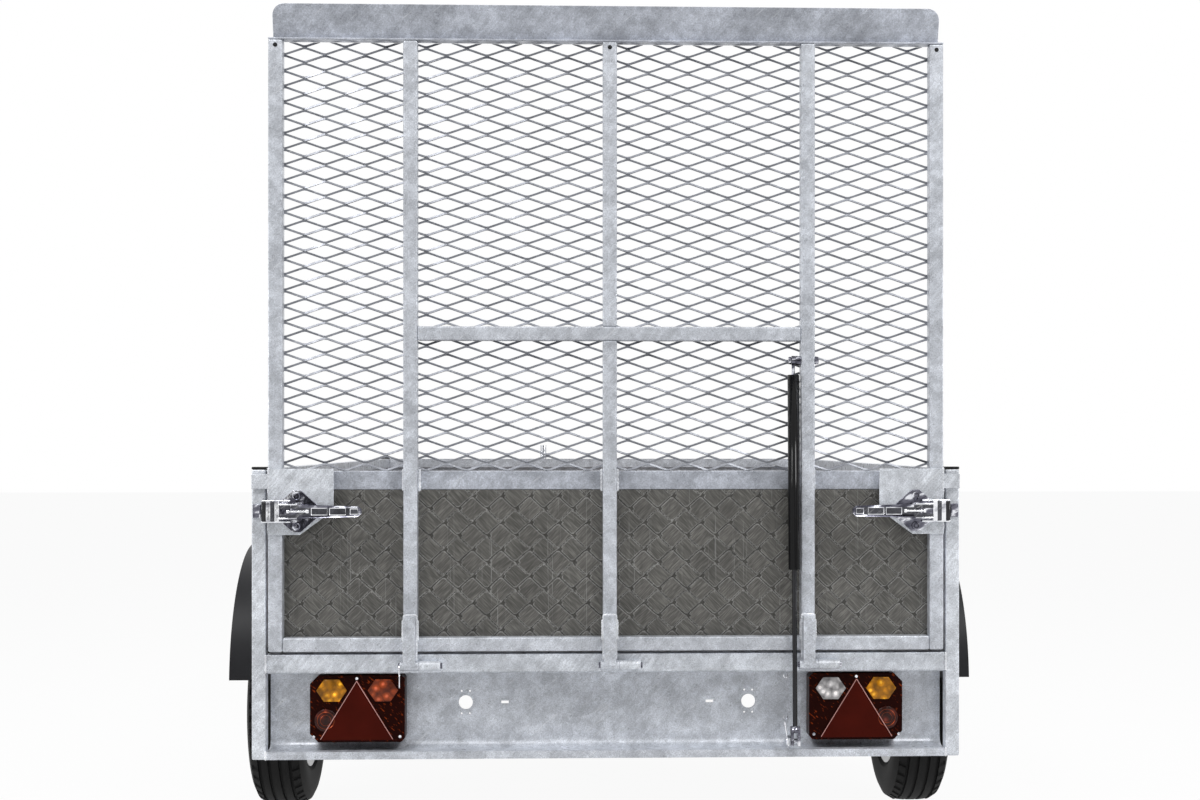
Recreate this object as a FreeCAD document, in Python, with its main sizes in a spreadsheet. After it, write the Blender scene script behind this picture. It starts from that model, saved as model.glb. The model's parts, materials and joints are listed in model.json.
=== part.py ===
"""Single-axle utility trailer with a tall mesh ramp at its rear.

Frame: +X to the right seen from behind, +Y forward along the drawbar, +Z up.
The ground is at Z 0 and the origin lies on it under the middle of the whole
trailer.  Every Y formula counts from the ramp's rear face and is moved by
face_y, so that the trailer's length is centred.  Millimetres throughout.
"""
import FreeCAD
import Part
import Sketcher
import os
import re

Vector = FreeCAD.Vector
doc = FreeCAD.newDocument("UtilityTrailer")

# name, value, what it measures
SIZES = (
    # body and frame
    ("body_width", 1500, "width over the corner posts"),
    ("body_length", 2500, "length over the corner posts"),
    ("floor_level", 545, "top of the frame above the ground"),
    ("side_height", 390, "corner posts above the frame"),
    ("post", 30, "square tube of posts, beams, ramp and top rails"),
    ("post_foot", 323, "lower end of the rear posts above the ground"),
    ("frame_height", 40, "height of the frame tubes"),
    ("setback", 5, "rear posts forward of the ramp's rear face"),
    ("post_cap", 5, "cap on a post"),
    ("deck_board", 12, "floor board"),
    ("side_sheet", 3, "side panels and headboard"),
    ("cross_pitch", 500, "spacing of the cross members"),
    ("upright_pitch", 820, "spacing of the uprights on a side"),
    # light board and lamps
    ("board_depth", 62, "web of the light board forward of the posts' rear face"),
    ("board_sheet", 2.5, "sheet of the light board"),
    ("board_bend", 22, "outer bend radius at the foot of the web"),
    ("lip", 16, "height of the light board's lip"),
    ("port_radius", 15, "round port in the web"),
    ("port_rise", 12, "port above the middle of the web"),
    ("port_place", 304, "port from the middle"),
    ("port_screw", 2, "radius of the screw holes round a port"),
    ("port_screw_out", 24, "screw hole above and below a port"),
    ("port_screw_side", 8.7, "screw hole beside a port"),
    ("slot_place", 220, "cable slot from the middle"),
    ("slot_long", 16, "cable slot length"),
    ("slot_tall", 6, "cable slot height"),
    ("lamp_wide", 200, "lamp width"),
    ("lamp_tall", 142, "lamp height"),
    ("lamp_deep", 46, "lamp depth without its lenses"),
    ("lamp_inset", 90, "lamp from the post"),
    ("lamp_lift", 18, "lamp above the floor of the light board"),
    ("lamp_big_corner", 18, "chamfer on the outer corners of a lamp"),
    ("lamp_small_corner", 8, "chamfer on the inner corners of a lamp"),
    ("lens_proud", 4, "lenses and reflector in front of the lamp"),
    ("reflector_wide", 152, "base of the triangular reflector"),
    ("reflector_tall", 128, "height of the triangular reflector"),
    ("reflector_lift", 5, "triangular reflector above the lamp's foot"),
    ("lens_radius", 27, "corner radius of the six-sided lenses"),
    ("lens_inset", 46, "six-sided lens from the lamp's side"),
    ("lens_drop", 32, "six-sided lens below the lamp's top"),
    ("tail_lens_radius", 24, "round tail lens"),
    ("tail_inset", 34, "round tail lens from the lamp's outer side"),
    ("tail_drop", 24, "round tail lens below the lamp's middle"),
    # ramp
    ("ramp_gap", 5, "ramp above the frame"),
    ("ramp_side_gap", 5, "ramp to the posts"),
    ("skin_inset", 1, "tread plate, rail and mesh inside the ramp's side"),
    ("ramp_height", 1290, "ramp frame"),
    ("toe_height", 77, "toe plate above the ramp frame"),
    ("toe_sheet", 4, "toe plate thickness"),
    ("toe_lean", 20, "toe plate's top edge back from its root"),
    ("toe_corner", 25, "toe plate corner radius"),
    ("toe_inset", 7, "toe plate's end from the ramp's side"),
    ("bar_shift", 4, "middle bar right of the middle"),
    ("bar_pitch", 421, "spacing of the ramp's bars"),
    ("rail_level", 341, "recessed rail above the ramp's foot"),
    ("rail_height", 40, "recessed rail"),
    ("rail_deep", 20, "recessed rail front to back"),
    ("mid_level", 657, "short cross tube above the ramp's foot"),
    ("tread_sheet", 3, "tread plate"),
    ("tread_start", 15, "tread plate above the ramp's foot"),
    ("mesh_sheet", 4, "expanded mesh"),
    ("mesh_long", 85.7, "mesh opening across"),
    ("mesh_short", 33.3, "mesh opening up"),
    ("mesh_strand", 5, "strand width"),
    ("gusset_sheet", 3, "corner plates of the ramp"),
    ("gusset_wide", 138, "corner plate width"),
    ("gusset_tall", 139, "corner plate height"),
    ("gusset_rise", 5, "corner plate above the recessed rail"),
    ("gusset_cut", 52, "chamfer at the lower corner"),
    ("gusset_leg", 33, "width left below the chamfer"),
    ("gusset_step", 34, "slant between the gusset's foot and its leg"),
    ("tab_tall", 31, "stop tab height"),
    ("tab_drop", 11, "stop tab below the corner plate's top"),
    ("tab_end", 1, "stop tab's end inside the post's outer side"),
    # hinges
    ("hinge_back", 12.5, "hinge axis behind the ramp's rear face"),
    ("hinge_drop", 23, "hinge axis below the top of the frame"),
    ("sleeve_radius", 10.5, "hinge sleeve"),
    ("pin_radius", 6, "hinge pin"),
    ("running_gap", 0.05, "radial clearance of a pin in its bore"),
    ("end_gap", 0.5, "end clearance beside a sleeve or eye"),
    ("arm_wide", 25, "hinge arm"),
    ("arm_top", 75, "hinge arm above the ramp's foot"),
    ("moving_sleeve", 40, "sleeve on the ramp"),
    ("fixed_sleeve", 44, "sleeve on the frame"),
    ("pin_head", 4, "hinge pin beyond its sleeves"),
    ("pad_half", 7, "half the height of a hinge sleeve's pad"),
    # latches
    ("latch_drop", 44, "latch below the recessed rail"),
    ("latch_inset", 61, "latch centre from the ramp's side"),
    ("latch_wide", 116, "latch base plate across"),
    ("latch_tall", 88, "latch base plate up"),
    ("latch_sheet", 3, "latch base plate"),
    ("diamond_flat", 8, "half of the blunt ends above and below the latch plate"),
    ("lever_heel", 10, "lever beyond the latch's middle"),
    ("lever_long", 138, "lever from the latch centre to its tip"),
    ("lever_root", 30, "lever height at its root"),
    ("lever_tip", 22, "lever height at its tip"),
    ("lever_bevel", 8, "bevel along the lever's tip"),
    ("lever_nose", 6, "bevel across the lever's tip"),
    ("lever_thick", 8, "lever thickness"),
    ("block_wide", 50, "pivot block across"),
    ("block_tall", 36, "pivot block up"),
    ("block_deep", 12, "pivot block front to back"),
    ("loop_reach", 86, "loop's end bar from the latch centre"),
    ("loop_tall", 48, "loop height"),
    ("loop_bar", 5, "loop wire"),
    ("loop_seat", 1, "loop in front of the pivot block's face"),
    ("lip_gap", 5, "keeper lip inside the loop's end bar"),
    ("keeper_sheet", 4, "keeper lip and base"),
    ("keeper_tall", 28, "keeper height"),
    ("keeper_out", 25, "keeper lip behind the post"),
    ("keeper_inset", 3, "keeper base inside the post's outer side"),
    # gas strut
    ("strut_radius", 12.5, "strut cylinder"),
    ("strut_gap", 3, "strut cylinder to its bar"),
    ("strut_top_level", 616, "upper eye above the ramp's foot"),
    ("strut_top_y", 8, "upper eye forward of the ramp's rear face"),
    ("strut_foot_back", 25, "lower eye behind the ramp's rear face"),
    ("strut_foot_rise", 39, "lower eye above the lip's foot"),
    ("cylinder_top", 31, "cylinder below its eye"),
    ("cylinder_long", 413, "cylinder length"),
    ("cylinder_end", 40, "solid upper end of the cylinder"),
    ("rod_radius", 5, "strut rod and eye studs"),
    ("rod_inside", 60, "rod within the cylinder when the ramp is shut"),
    ("eye_radius", 10, "strut eye"),
    ("eye_thick", 8, "strut eye across"),
    ("neck_radius", 3.4, "neck between the cylinder and its eye"),
    ("stud_head", 8, "heads and nuts of the upper stud, radius"),
    ("stud_cap", 6, "head of the upper stud"),
    ("stud_nut", 8, "nut of the upper stud"),
    ("fork", 20, "fork at the rod's end, square"),
    ("fork_tall", 40, "fork height"),
    ("fork_slot", 8, "slot in the fork"),
    ("fork_bridge", 12, "solid top of the fork"),
    ("bracket_sheet", 6, "strut foot bracket"),
    ("foot_long", 42, "bracket's foot forward of the posts' rear face"),
    ("foot_edge", 10, "bracket's height at its front edge"),
    ("ear_fore", 6, "bracket's ear in front of the lower eye"),
    ("ear_rise", 11, "bracket's ear above the lower eye"),
    ("ear_back", 8, "bracket's ear behind the lower eye"),
    ("ear_high", 6, "top of the ear's rear edge above the lower eye"),
    ("ear_low", 8, "foot of the ear's rear edge below the lower eye"),
    ("ear_under", 4, "ear's lowest point in front of the lower eye"),
    ("ear_drop", 12, "ear's lowest point below the lower eye"),
    ("flange_wide", 36, "bracket's screwed flange"),
    ("flange_start", 2, "flange forward of the posts' rear face"),
    ("flange_end", 40, "flange's front edge"),
    ("flange_sheet", 3, "flange thickness"),
    # wheels and axle
    ("tyre_radius", 281, "tyre"),
    ("tyre_wide", 145, "tyre section"),
    ("tread_half", 56, "half the tread's width"),
    ("shoulder", 9, "tyre's shoulder beside and below its tread"),
    ("wall_rise", 4, "tyre's widest line above the middle of its wall"),
    ("wall_in", 3, "foot of the tyre's wall inside its widest line"),
    ("wall_foot", 30, "foot of the tyre's wall above the bead seat"),
    ("bead_gap", 2, "tyre round the rim's flange"),
    ("tyre_gap", 32, "tyre to the body's side"),
    ("rim_radius", 166, "bead seat"),
    ("rim_half", 58, "half the rim's width"),
    ("rim_flange", 12, "rim flange above the bead seat"),
    ("rim_sheet", 4, "rim thickness"),
    ("dish_out", 18, "wheel disc outboard of the wheel's middle"),
    ("dish_step", 14, "wheel disc's step outwards"),
    ("dish_rim", 45, "disc's step inside the bead seat"),
    ("dish_land", 8, "flat of the disc beyond the hub flange"),
    ("bore_radius", 34, "centre bore of the wheel disc"),
    ("hub_flange", 72, "hub flange radius"),
    ("hub_thick", 10, "hub flange thickness"),
    ("hub_neck", 4, "hub's barrel beyond the centre bore"),
    ("hub_back", 6, "hub inside the tyre's inner side"),
    ("cap_side", 10, "grease cap's root outboard of the disc"),
    ("cap_room", 14, "end of the hub's bore outboard of the disc"),
    ("cap_face", 24, "grease cap's shoulder outboard of the disc"),
    ("cap_out", 26, "grease cap's end outboard of the disc"),
    ("cap_taper", 8, "grease cap's shoulder inside the centre bore"),
    ("spindle_radius", 16, "stub axle"),
    ("stub_end", 10, "stub axle beyond the wheel disc"),
    ("axle_place", 1145, "axle forward of the posts' rear face"),
    ("arm_reach", 130, "suspension arm, axle beam forward of the wheel"),
    ("arm_rise", 92, "suspension arm, axle beam above the wheel"),
    ("arm_thick", 20, "suspension arm"),
    ("arm_half", 24, "half the suspension arm's width at the wheel"),
    ("axle_tube", 60, "axle beam, square"),
    ("seat_inset", 5, "axle's saddles inside the beam's faces"),
    ("guard_radius", 351, "mudguard"),
    ("guard_lift", 82, "mudguard centre above the wheel's"),
    ("guard_wide", 202, "mudguard width"),
    ("guard_sheet", 3, "mudguard wall"),
    ("guard_skirt", 26, "mudguard's turned-in outer edge"),
    ("guard_foot", 21, "mudguard's foot above its centre"),
    ("stay_sheet", 5, "mudguard stay"),
    ("stay_tall", 25, "mudguard stay height"),
    ("stay_short", 20, "stay inside the mudguard's outer edge"),
    ("stay_fit", 0.3, "stay to the mudguard's wall"),
    # drawbar, coupling and jockey wheel
    ("draw_tall", 60, "drawbar tubes"),
    ("draw_wide", 40, "drawbar side tubes"),
    ("draw_root_x", 600, "drawbar tube from the middle at its root"),
    ("draw_root_y", 1650, "drawbar root forward of the rear face"),
    ("draw_reach", 830, "drawbar side tubes in front of the body"),
    ("nose_long", 300, "nose tube"),
    ("nose_out", 180, "nose tube in front of the side tubes"),
    ("ball_radius", 25.2, "tow ball socket"),
    ("ball_ahead", 140, "socket in front of the nose tube"),
    ("ball_drop", 22, "socket centre above the coupling's foot"),
    ("coupling_wide", 64, "coupling head"),
    ("coupling_tall", 66, "coupling head height"),
    ("saddle", 6, "coupling's saddle plate"),
    ("saddle_long", 90, "coupling's saddle over the nose tube"),
    ("handle_half", 12, "half the coupling lever's width"),
    ("handle_root", 30, "lever's foot in front of the nose tube"),
    ("handle_front", 20, "lever's foot behind the socket"),
    ("handle_lean", 14, "lever's front corner behind its foot"),
    ("handle_knee", 26, "lever's front corner above the frame's foot"),
    ("handle_reach", 70, "lever's upper end behind the nose tube's end"),
    ("handle_rise", 52, "lever's upper end above the frame's foot"),
    ("handle_tip", 4, "slant of the lever's end"),
    ("handle_thick", 10, "lever's end, thickness"),
    ("handle_heel", 10, "lever's lower bend behind its root"),
    ("handle_bend", 22, "lever's lower bend above the frame's foot"),
    ("jack_back", 90, "jack behind the nose tube's end"),
    ("jack_out", 54, "jack axis from the nose tube"),
    ("jack_radius", 24, "jack's outer tube"),
    ("jack_inner", 19, "jack's inner tube"),
    ("jack_low", 428, "foot of the outer tube above the ground"),
    ("jack_tall", 450, "outer tube height"),
    ("jack_inside", 262, "inner tube within the outer when down"),
    ("jack_cap", 10, "closed top of the outer tube"),
    ("clamp_wall", 6, "clamp ring"),
    ("clamp_tall", 44, "clamp ring height"),
    ("clamp_half", 18, "half the width of the clamp's foot"),
    ("clamp_fit", 0.1, "clamp ring to the jack's tube"),
    ("screw_end", 75, "end of the clamp's screw from the jack's tube"),
    ("screw_start", 2, "root of the clamp's screw from the jack's tube"),
    ("screw_radius", 6, "clamp's screw"),
    ("tommy_place", 70, "screw's cross bar from the jack's tube"),
    ("tommy_half", 32, "half the cross bar"),
    ("tommy_radius", 4, "cross bar"),
    ("crank_reach", 110, "crank handle from the jack's axis"),
    ("crank_radius", 7, "crank rod"),
    ("crank_post", 24, "crank's post above the outer tube"),
    ("crank_post_radius", 10, "crank's post"),
    ("grip_radius", 12, "crank grip"),
    ("grip_tall", 80, "crank grip height"),
    ("caster_radius", 100, "jockey wheel"),
    ("caster_wide", 50, "jockey wheel width"),
    ("caster_rim", 68, "jockey wheel rim radius"),
    ("caster_side", 10, "solid tyre's side below its tread"),
    ("caster_round", 8, "solid tyre's tread inside its sides"),
    ("caster_lip", 8, "jockey rim's edge"),
    ("caster_well", 14, "jockey rim's web below its edge"),
    ("caster_web", 8, "half the jockey rim's web"),
    ("caster_hub", 26, "foot of the jockey rim's web"),
    ("caster_boss", 22, "jockey rim's boss"),
    ("caster_pin", 8, "jockey wheel pin"),
    ("pin_end", 6, "wheel pin beyond the fork's legs"),
    ("pivot_long", 34, "swivel pin within the inner tube"),
    ("socket_deep", 40, "swivel pin's bore in the inner tube"),
    ("caster_trail", 28, "jockey wheel behind its swivel"),
    ("fork_plate", 5, "jockey fork leg"),
    ("fork_gap", 5, "jockey wheel to its fork"),
    ("fork_rise", 26, "jockey fork's crown above its wheel"),
    ("fork_half", 20, "half the fork's width front to back"),
    ("fork_cheek", 14, "fork's straight sides below its crown"),
    ("leg_half", 16, "half the fork leg's foot"),
    ("leg_below", 10, "fork leg below the wheel's pin"),
    ("crown", 12, "jockey fork crown"),
    ("swivel_gap", 1, "crown to the inner tube"),
    ("overcut", 1, "how far a cutting shape passes the face it cuts"),
)

# derived place, formula
PLACES = (
    ("half", "body_width / 2"),
    ("inner_half", "half - post"),
    ("frame_low", "floor_level - frame_height"),
    ("side_top", "floor_level + side_height"),
    ("rail_foot", "side_top - post"),
    ("deck", "floor_level + deck_board"),
    ("rear_in", "setback + post"),
    ("front_out", "setback + body_length"),
    ("front_in", "front_out - post"),
    ("sheet_x", "half - post / 2"),
    ("upright_x", "sheet_x + side_sheet / 2"),
    ("web_y", "setback + board_depth"),
    ("board_floor", "post_foot + lip"),
    ("port_z", "(board_floor + frame_low) / 2 + port_rise"),
    ("lamp_x", "inner_half - lamp_inset - lamp_wide / 2"),
    ("lamp_z", "board_floor + lamp_lift + lamp_tall / 2"),
    ("lamp_face", "web_y - board_sheet - lamp_deep"),
    ("ramp_half", "inner_half - ramp_side_gap"),
    ("ramp_low", "floor_level + ramp_gap"),
    ("ramp_high", "ramp_low + ramp_height"),
    ("rail_low", "ramp_low + rail_level"),
    ("rail_high", "rail_low + rail_height"),
    ("mid_low", "ramp_low + mid_level"),
    ("skin_half", "ramp_half - skin_inset"),
    ("gusset_high", "rail_high + gusset_rise"),
    ("hinge_y", "-hinge_back"),
    ("hinge_z", "floor_level - hinge_drop"),
    ("latch_x", "ramp_half - latch_inset"),
    ("latch_z", "rail_low - latch_drop"),
    ("latch_face", "-gusset_sheet - latch_sheet"),
    ("loop_y", "latch_face - block_deep"),
    ("strut_bar", "bar_shift + bar_pitch - post / 2"),
    ("strut_x", "strut_bar - strut_gap - strut_radius"),
    ("strut_top_z", "ramp_low + strut_top_level"),
    ("strut_foot_z", "post_foot + strut_foot_rise"),
    ("strut_run_y", "strut_top_y + strut_foot_back"),
    ("strut_run_z", "strut_top_z - strut_foot_z"),
    ("strut_long", "sqrt(strut_run_y ^ 2 + strut_run_z ^ 2)"),
    ("axle_y", "setback + axle_place"),
    ("wheel_x", "half + tyre_gap + tyre_wide / 2"),
    ("axle_beam_y", "axle_y + arm_reach"),
    ("axle_beam_z", "tyre_radius + arm_rise"),
    ("guard_z", "tyre_radius + guard_lift"),
    ("draw_low", "frame_low - draw_tall"),
    ("draw_end", "front_out + draw_reach"),
    ("nose_end", "draw_end + nose_out"),
    ("nose_half", "draw_tall / 2"),
    ("ball_y", "nose_end + ball_ahead"),
    ("coupling_low", "frame_low - coupling_tall"),
    ("ball_z", "coupling_low + ball_drop"),
    ("front_reach", "ball_y + coupling_wide / 2"),
    ("face_y", "(strut_foot_back + fork / 2 - front_reach) / 2"),
    ("jack_x", "-nose_half - jack_out"),
    ("jack_y", "nose_end - jack_back"),
    ("jack_high", "jack_low + jack_tall"),
    ("crown_low", "2 * caster_radius + fork_rise"),
    ("inner_low", "crown_low + crown + swivel_gap"),
    ("inner_high", "jack_low + jack_inside"),
    ("caster_y", "jack_y - caster_trail"),
    ("leg_x", "caster_wide / 2 + fork_gap"),
)

SIDES = (("left", -1), ("right", 1))
NODES = []


# ---- the document's own small tools -------------------------------------------------

def size_sheet():
    """The driving sizes, one row each, and the places worked out from them."""
    sheet = doc.addObject("Spreadsheet::Sheet", "Sizes")
    for row, (name, value, meaning) in enumerate(SIZES, 1):
        sheet.set("A%d" % row, meaning)
        sheet.set("B%d" % row, str(value))
        sheet.setAlias("B%d" % row, name)
    doc.recompute()
    places = doc.addObject("App::VarSet", "Places")
    for name, formula in PLACES:
        places.addProperty("App::PropertyFloat", name, "Places")
        places.setExpression(name, full(formula))
        doc.recompute()
    return sheet, places


SIZE_NAMES = {row[0] for row in SIZES}
PLACE_NAMES = {row[0] for row in PLACES}


def full(formula):
    """Point each plain name in a formula at its cell or its place."""
    def point(match):
        word = match.group(0)
        if word in SIZE_NAMES:
            return "Sizes." + word
        return "Places." + word if word in PLACE_NAMES else word
    return re.sub(r"[A-Za-z_]+", point, str(formula))


def value(name):
    """The number behind one name."""
    return float(sheet.get(name) if name in SIZE_NAMES else getattr(places, name))


def place(thing, x="0", y="0", z="0"):
    """Bind a thing's place; y counts from the ramp's rear face."""
    thing.setExpression("Placement.Base.x", full(x))
    thing.setExpression("Placement.Base.y", full("face_y + (%s)" % y))
    thing.setExpression("Placement.Base.z", full(z))
    return thing


def block(x, y, z):
    """A box between low and high formulas along each axis."""
    box = doc.addObject("Part::Box", "Block")
    for prop, (low, high) in (("Length", x), ("Width", y), ("Height", z)):
        box.setExpression(prop, full("(%s) - (%s)" % (high, low)))
    return place(box, x[0], y[0], z[0])


def rod(axis, low, high, radius, x="0", y="0", z="0"):
    """A cylinder along one axis, from low to high on it."""
    turn = {"x": (Vector(0, 1, 0), 90), "y": (Vector(1, 0, 0), -90), "z": (Vector(0, 0, 1), 0)}
    cylinder = doc.addObject("Part::Cylinder", "Rod")
    cylinder.Placement.Rotation = FreeCAD.Rotation(*turn[axis])
    cylinder.setExpression("Radius", full(radius))
    cylinder.setExpression("Height", full("(%s) - (%s)" % (high, low)))
    spot = {"x": x, "y": y, "z": z}
    spot[axis] = low
    return place(cylinder, **spot)


def joined(*things):
    """One shape of several; solids that do not touch stay apart."""
    if len(things) == 1:
        return things[0]
    fuse = doc.addObject("Part::MultiFuse", "Joined")
    fuse.Shapes = list(things)
    return fuse


def less(base, *tools):
    """The base with the tools cut away."""
    cut = doc.addObject("Part::Cut", "Less")
    cut.Base = base
    cut.Tool = joined(*tools)
    return cut


def shared(base, tool):
    """What two shapes have in common."""
    common = doc.addObject("Part::Common", "Shared")
    common.Base = base
    common.Tool = tool
    return common


def outline_sketch(body, plane, points):
    """A closed sketch of straight lines, each corner held by two formulas."""
    sketch = body.newObject("Sketcher::SketchObject", "Outline")
    origin = [f for f in body.Origin.OriginFeatures if f.Role == plane + "_Plane"][0]
    sketch.AttachmentSupport = [(origin, "")]
    sketch.MapMode = "FlatFace"
    count = len(points)
    start = [Vector(10, 0, 0)]
    for index in range(1, count):
        start.append(FreeCAD.Rotation(Vector(0, 0, 1), 360 * index / count).multVec(start[0]))
    for index in range(count):
        sketch.addGeometry(Part.LineSegment(start[index], start[(index + 1) % count]), False)
    for index in range(count):
        sketch.addConstraint(Sketcher.Constraint("Coincident", index, 2, (index + 1) % count, 1))
    for index, corner in enumerate(points):
        for kind, formula, now in zip("XY", corner, start[index]):
            number = sketch.addConstraint(
                Sketcher.Constraint("Distance" + kind, -1, 1, index, 1, now))
            sketch.renameConstraint(number, kind + str(index))
            sketch.setExpression("Constraints.%s%d" % (kind, index), full(formula))
    return sketch


def plate(plane, points, low, high):
    """A flat plate with a straight-sided outline in XY, XZ or YZ."""
    body = doc.addObject("PartDesign::Body", "Plate")
    sketch = outline_sketch(body, plane, points)
    pad = body.newObject("PartDesign::Pad", "Pad")
    pad.Profile = sketch
    pad.setExpression("Length", full("(%s) - (%s)" % (high, low)))
    body.Tip = pad
    spot = {"XY": {"z": low}, "XZ": {"y": high}, "YZ": {"x": low}}[plane]
    return place(body, **spot)


def turned(points, x, y, z):
    """A ring or disc turned about X; its points are (along X, radius)."""
    body = doc.addObject("PartDesign::Body", "Turned")
    sketch = outline_sketch(body, "XZ", points)
    spin = body.newObject("PartDesign::Revolution", "Spin")
    spin.Profile = sketch
    spin.ReferenceAxis = (sketch, ["H_Axis"])
    spin.Angle = 360
    body.Tip = spin
    return place(body, x, y, z)


def node(name, *things):
    """Name one finished sub-part."""
    thing = joined(*things)
    thing.Label = name
    NODES.append(thing)
    return thing


def mirrored(x):
    """A span of X formulas on the left side, from the same span on the right."""
    return ("-(%s)" % x[1], "-(%s)" % x[0])


def both(x, y, z):
    """The same block on the right and on the left."""
    return [block(x, y, z), block(mirrored(x), y, z)]


# ---- frame and body -----------------------------------------------------------------

def frame():
    span = ("-inner_half", "inner_half")
    tube = ("frame_low", "floor_level")
    node("rear_beam", block(span, ("setback", "rear_in"), tube))
    node("side_beams", *both(("inner_half", "half"), ("rear_in", "front_in"), tube))
    count = int((value("front_in") - value("rear_in")) / value("cross_pitch"))
    bars = [block(span, ("front_in", "front_out"), tube)]
    for index in range(count):
        low = "rear_in + %s * cross_pitch" % (index + 0.5)
        bars.append(block(span, (low, low + " + post"), tube))
    node("cross_members", *bars)
    node("floor", block(("-sheet_x + side_sheet / 2", "sheet_x - side_sheet / 2"),
                        ("rear_in", "front_in"), ("floor_level", "deck")))


def body():
    corner = ("inner_half", "half")
    rear, front = ("setback", "rear_in"), ("front_in", "front_out")
    node("corner_posts", *both(corner, rear, ("post_foot", "side_top")),
         *both(corner, front, ("frame_low", "side_top")))
    top = ("side_top", "side_top + post_cap")
    node("post_caps", *both(corner, rear, top), *both(corner, front, top))
    rail = ("rail_foot", "side_top")
    node("top_rails", *both(corner, ("rear_in", "front_in"), rail),
         block(("-inner_half", "inner_half"), front, rail))
    skin = ("sheet_x - side_sheet / 2", "sheet_x + side_sheet / 2")
    wall = ("floor_level", "rail_foot")
    for side, way in SIDES:
        x = skin if way > 0 else mirrored(skin)
        node(side + "_side", block(x, ("rear_in", "front_in"), wall))
    middle = "(front_in + front_out) / 2"
    node("headboard", block(("-inner_half", "inner_half"),
                            (middle + " - side_sheet / 2", middle + " + side_sheet / 2"), wall))
    uprights = []
    for index in (-1, 1):
        low = "(rear_in + front_in) / 2 + %d * upright_pitch / 2 - post / 2" % index
        uprights += both(("upright_x", "half"), (low, low + " + post"), wall)
    node("side_uprights", *uprights)


# ---- light board and lamps ----------------------------------------------------------

def light_board():
    x = ("-inner_half", "inner_half")
    back = "web_y - board_sheet"
    bend_y, bend_z = "web_y - board_bend", "board_floor - board_sheet + board_bend"
    bend = less(rod("x", x[0], x[1], "board_bend", y=bend_y, z=bend_z),
                rod("x", x[0], x[1], "board_bend - board_sheet", y=bend_y, z=bend_z))
    corner = block(x, (bend_y, "web_y"), ("board_floor - board_sheet", bend_z))
    pieces = [
        block(x, ("setback + post / 2", "web_y"), ("frame_low - board_sheet", "frame_low")),
        block(x, (back, "web_y"), (bend_z, "frame_low")),
        shared(bend, corner),
        block(x, ("setback", bend_y), ("board_floor - board_sheet", "board_floor")),
        block(x, ("setback", "setback + board_sheet"), ("post_foot", "board_floor")),
    ]
    through = (back + " - overcut", "web_y + overcut")
    holes = []
    for side, way in SIDES:
        port = "%d * port_place" % way
        holes.append(rod("y", *through, "port_radius", x=port, z="port_z"))
        for across, up in ((-1, -1), (-1, 1), (1, -1), (1, 1)):
            holes.append(rod("y", *through, "port_screw",
                             x="%s + %d * port_screw_side" % (port, across),
                             z="port_z + %d * port_screw_out" % up))
        slot = "%d * slot_place" % way
        holes.append(block((slot + " - slot_long / 2", slot + " + slot_long / 2"), through,
                           ("port_z - slot_tall / 2", "port_z + slot_tall / 2")))
    node("light_board", less(joined(*pieces), *holes))


def lamp_outline(way):
    """Eight corners: the outer side of a lamp has the larger chamfers."""
    corners = (  # outward, up, chamfer
        (1, -1, "lamp_big_corner"), (1, 1, "lamp_big_corner"),
        (-1, 1, "lamp_small_corner"), (-1, -1, "lamp_small_corner"))
    points = []
    for out, up, cut in corners:
        flat = ("lamp_x + %d * (lamp_wide / 2 - %s)" % (out, cut),
                "lamp_z + %d * lamp_tall / 2" % up)
        side = ("lamp_x + %d * lamp_wide / 2" % out,
                "lamp_z + %d * (lamp_tall / 2 - %s)" % (up, cut))
        points += [flat, side] if out * up < 0 else [side, flat]
    return [("%d * (%s)" % (way, x), z) for x, z in points]


def six_sided(x, z, face, radius):
    """A six-sided lens standing proud of the lamp's face."""
    prism = doc.addObject("Part::Prism", "Lens")
    prism.Polygon = 6
    prism.Placement.Rotation = FreeCAD.Rotation(Vector(1, 0, 0), 90)
    prism.setExpression("Circumradius", full(radius))
    prism.setExpression("Height", full("lens_proud"))
    return place(prism, x, face, z)


def lamps():
    housings, reflectors, amber, red, clear = [], [], [], [], []
    for side, way in SIDES:
        housings.append(plate("XZ", lamp_outline(way), "lamp_face", "web_y - board_sheet"))
        low = "lamp_z - lamp_tall / 2 + reflector_lift"
        tip = ("%d * lamp_x" % way, low + " + reflector_tall")
        feet = [("%d * lamp_x + %d * reflector_wide / 2" % (way, out), low) for out in (1, -1)]
        reflectors.append(plate("XZ", [feet[0], tip, feet[1]],
                                "lamp_face - lens_proud", "lamp_face"))
        outer = "%d * (lamp_x + lamp_wide / 2 - lens_inset)" % way
        inner = "%d * (lamp_x - lamp_wide / 2 + lens_inset)" % way
        level = "lamp_z + lamp_tall / 2 - lens_drop"
        amber.append(six_sided(outer, level, "lamp_face", "lens_radius"))
        upper = six_sided(inner, level, "lamp_face", "lens_radius")
        (red if way < 0 else clear).append(upper)
        red.append(rod("y", "lamp_face - lens_proud", "lamp_face", "tail_lens_radius",
                       x="%d * (lamp_x + lamp_wide / 2 - tail_inset)" % way,
                       z="lamp_z - tail_drop"))
    triangles = joined(*reflectors)
    node("lamp_housings", *housings)
    node("lamp_reflectors", triangles)
    node("amber_lenses", less(joined(*amber), triangles))
    node("red_lenses", less(joined(*red), triangles))
    node("clear_lens", less(joined(*clear), triangles))


# ---- running gear -------------------------------------------------------------------

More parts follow.
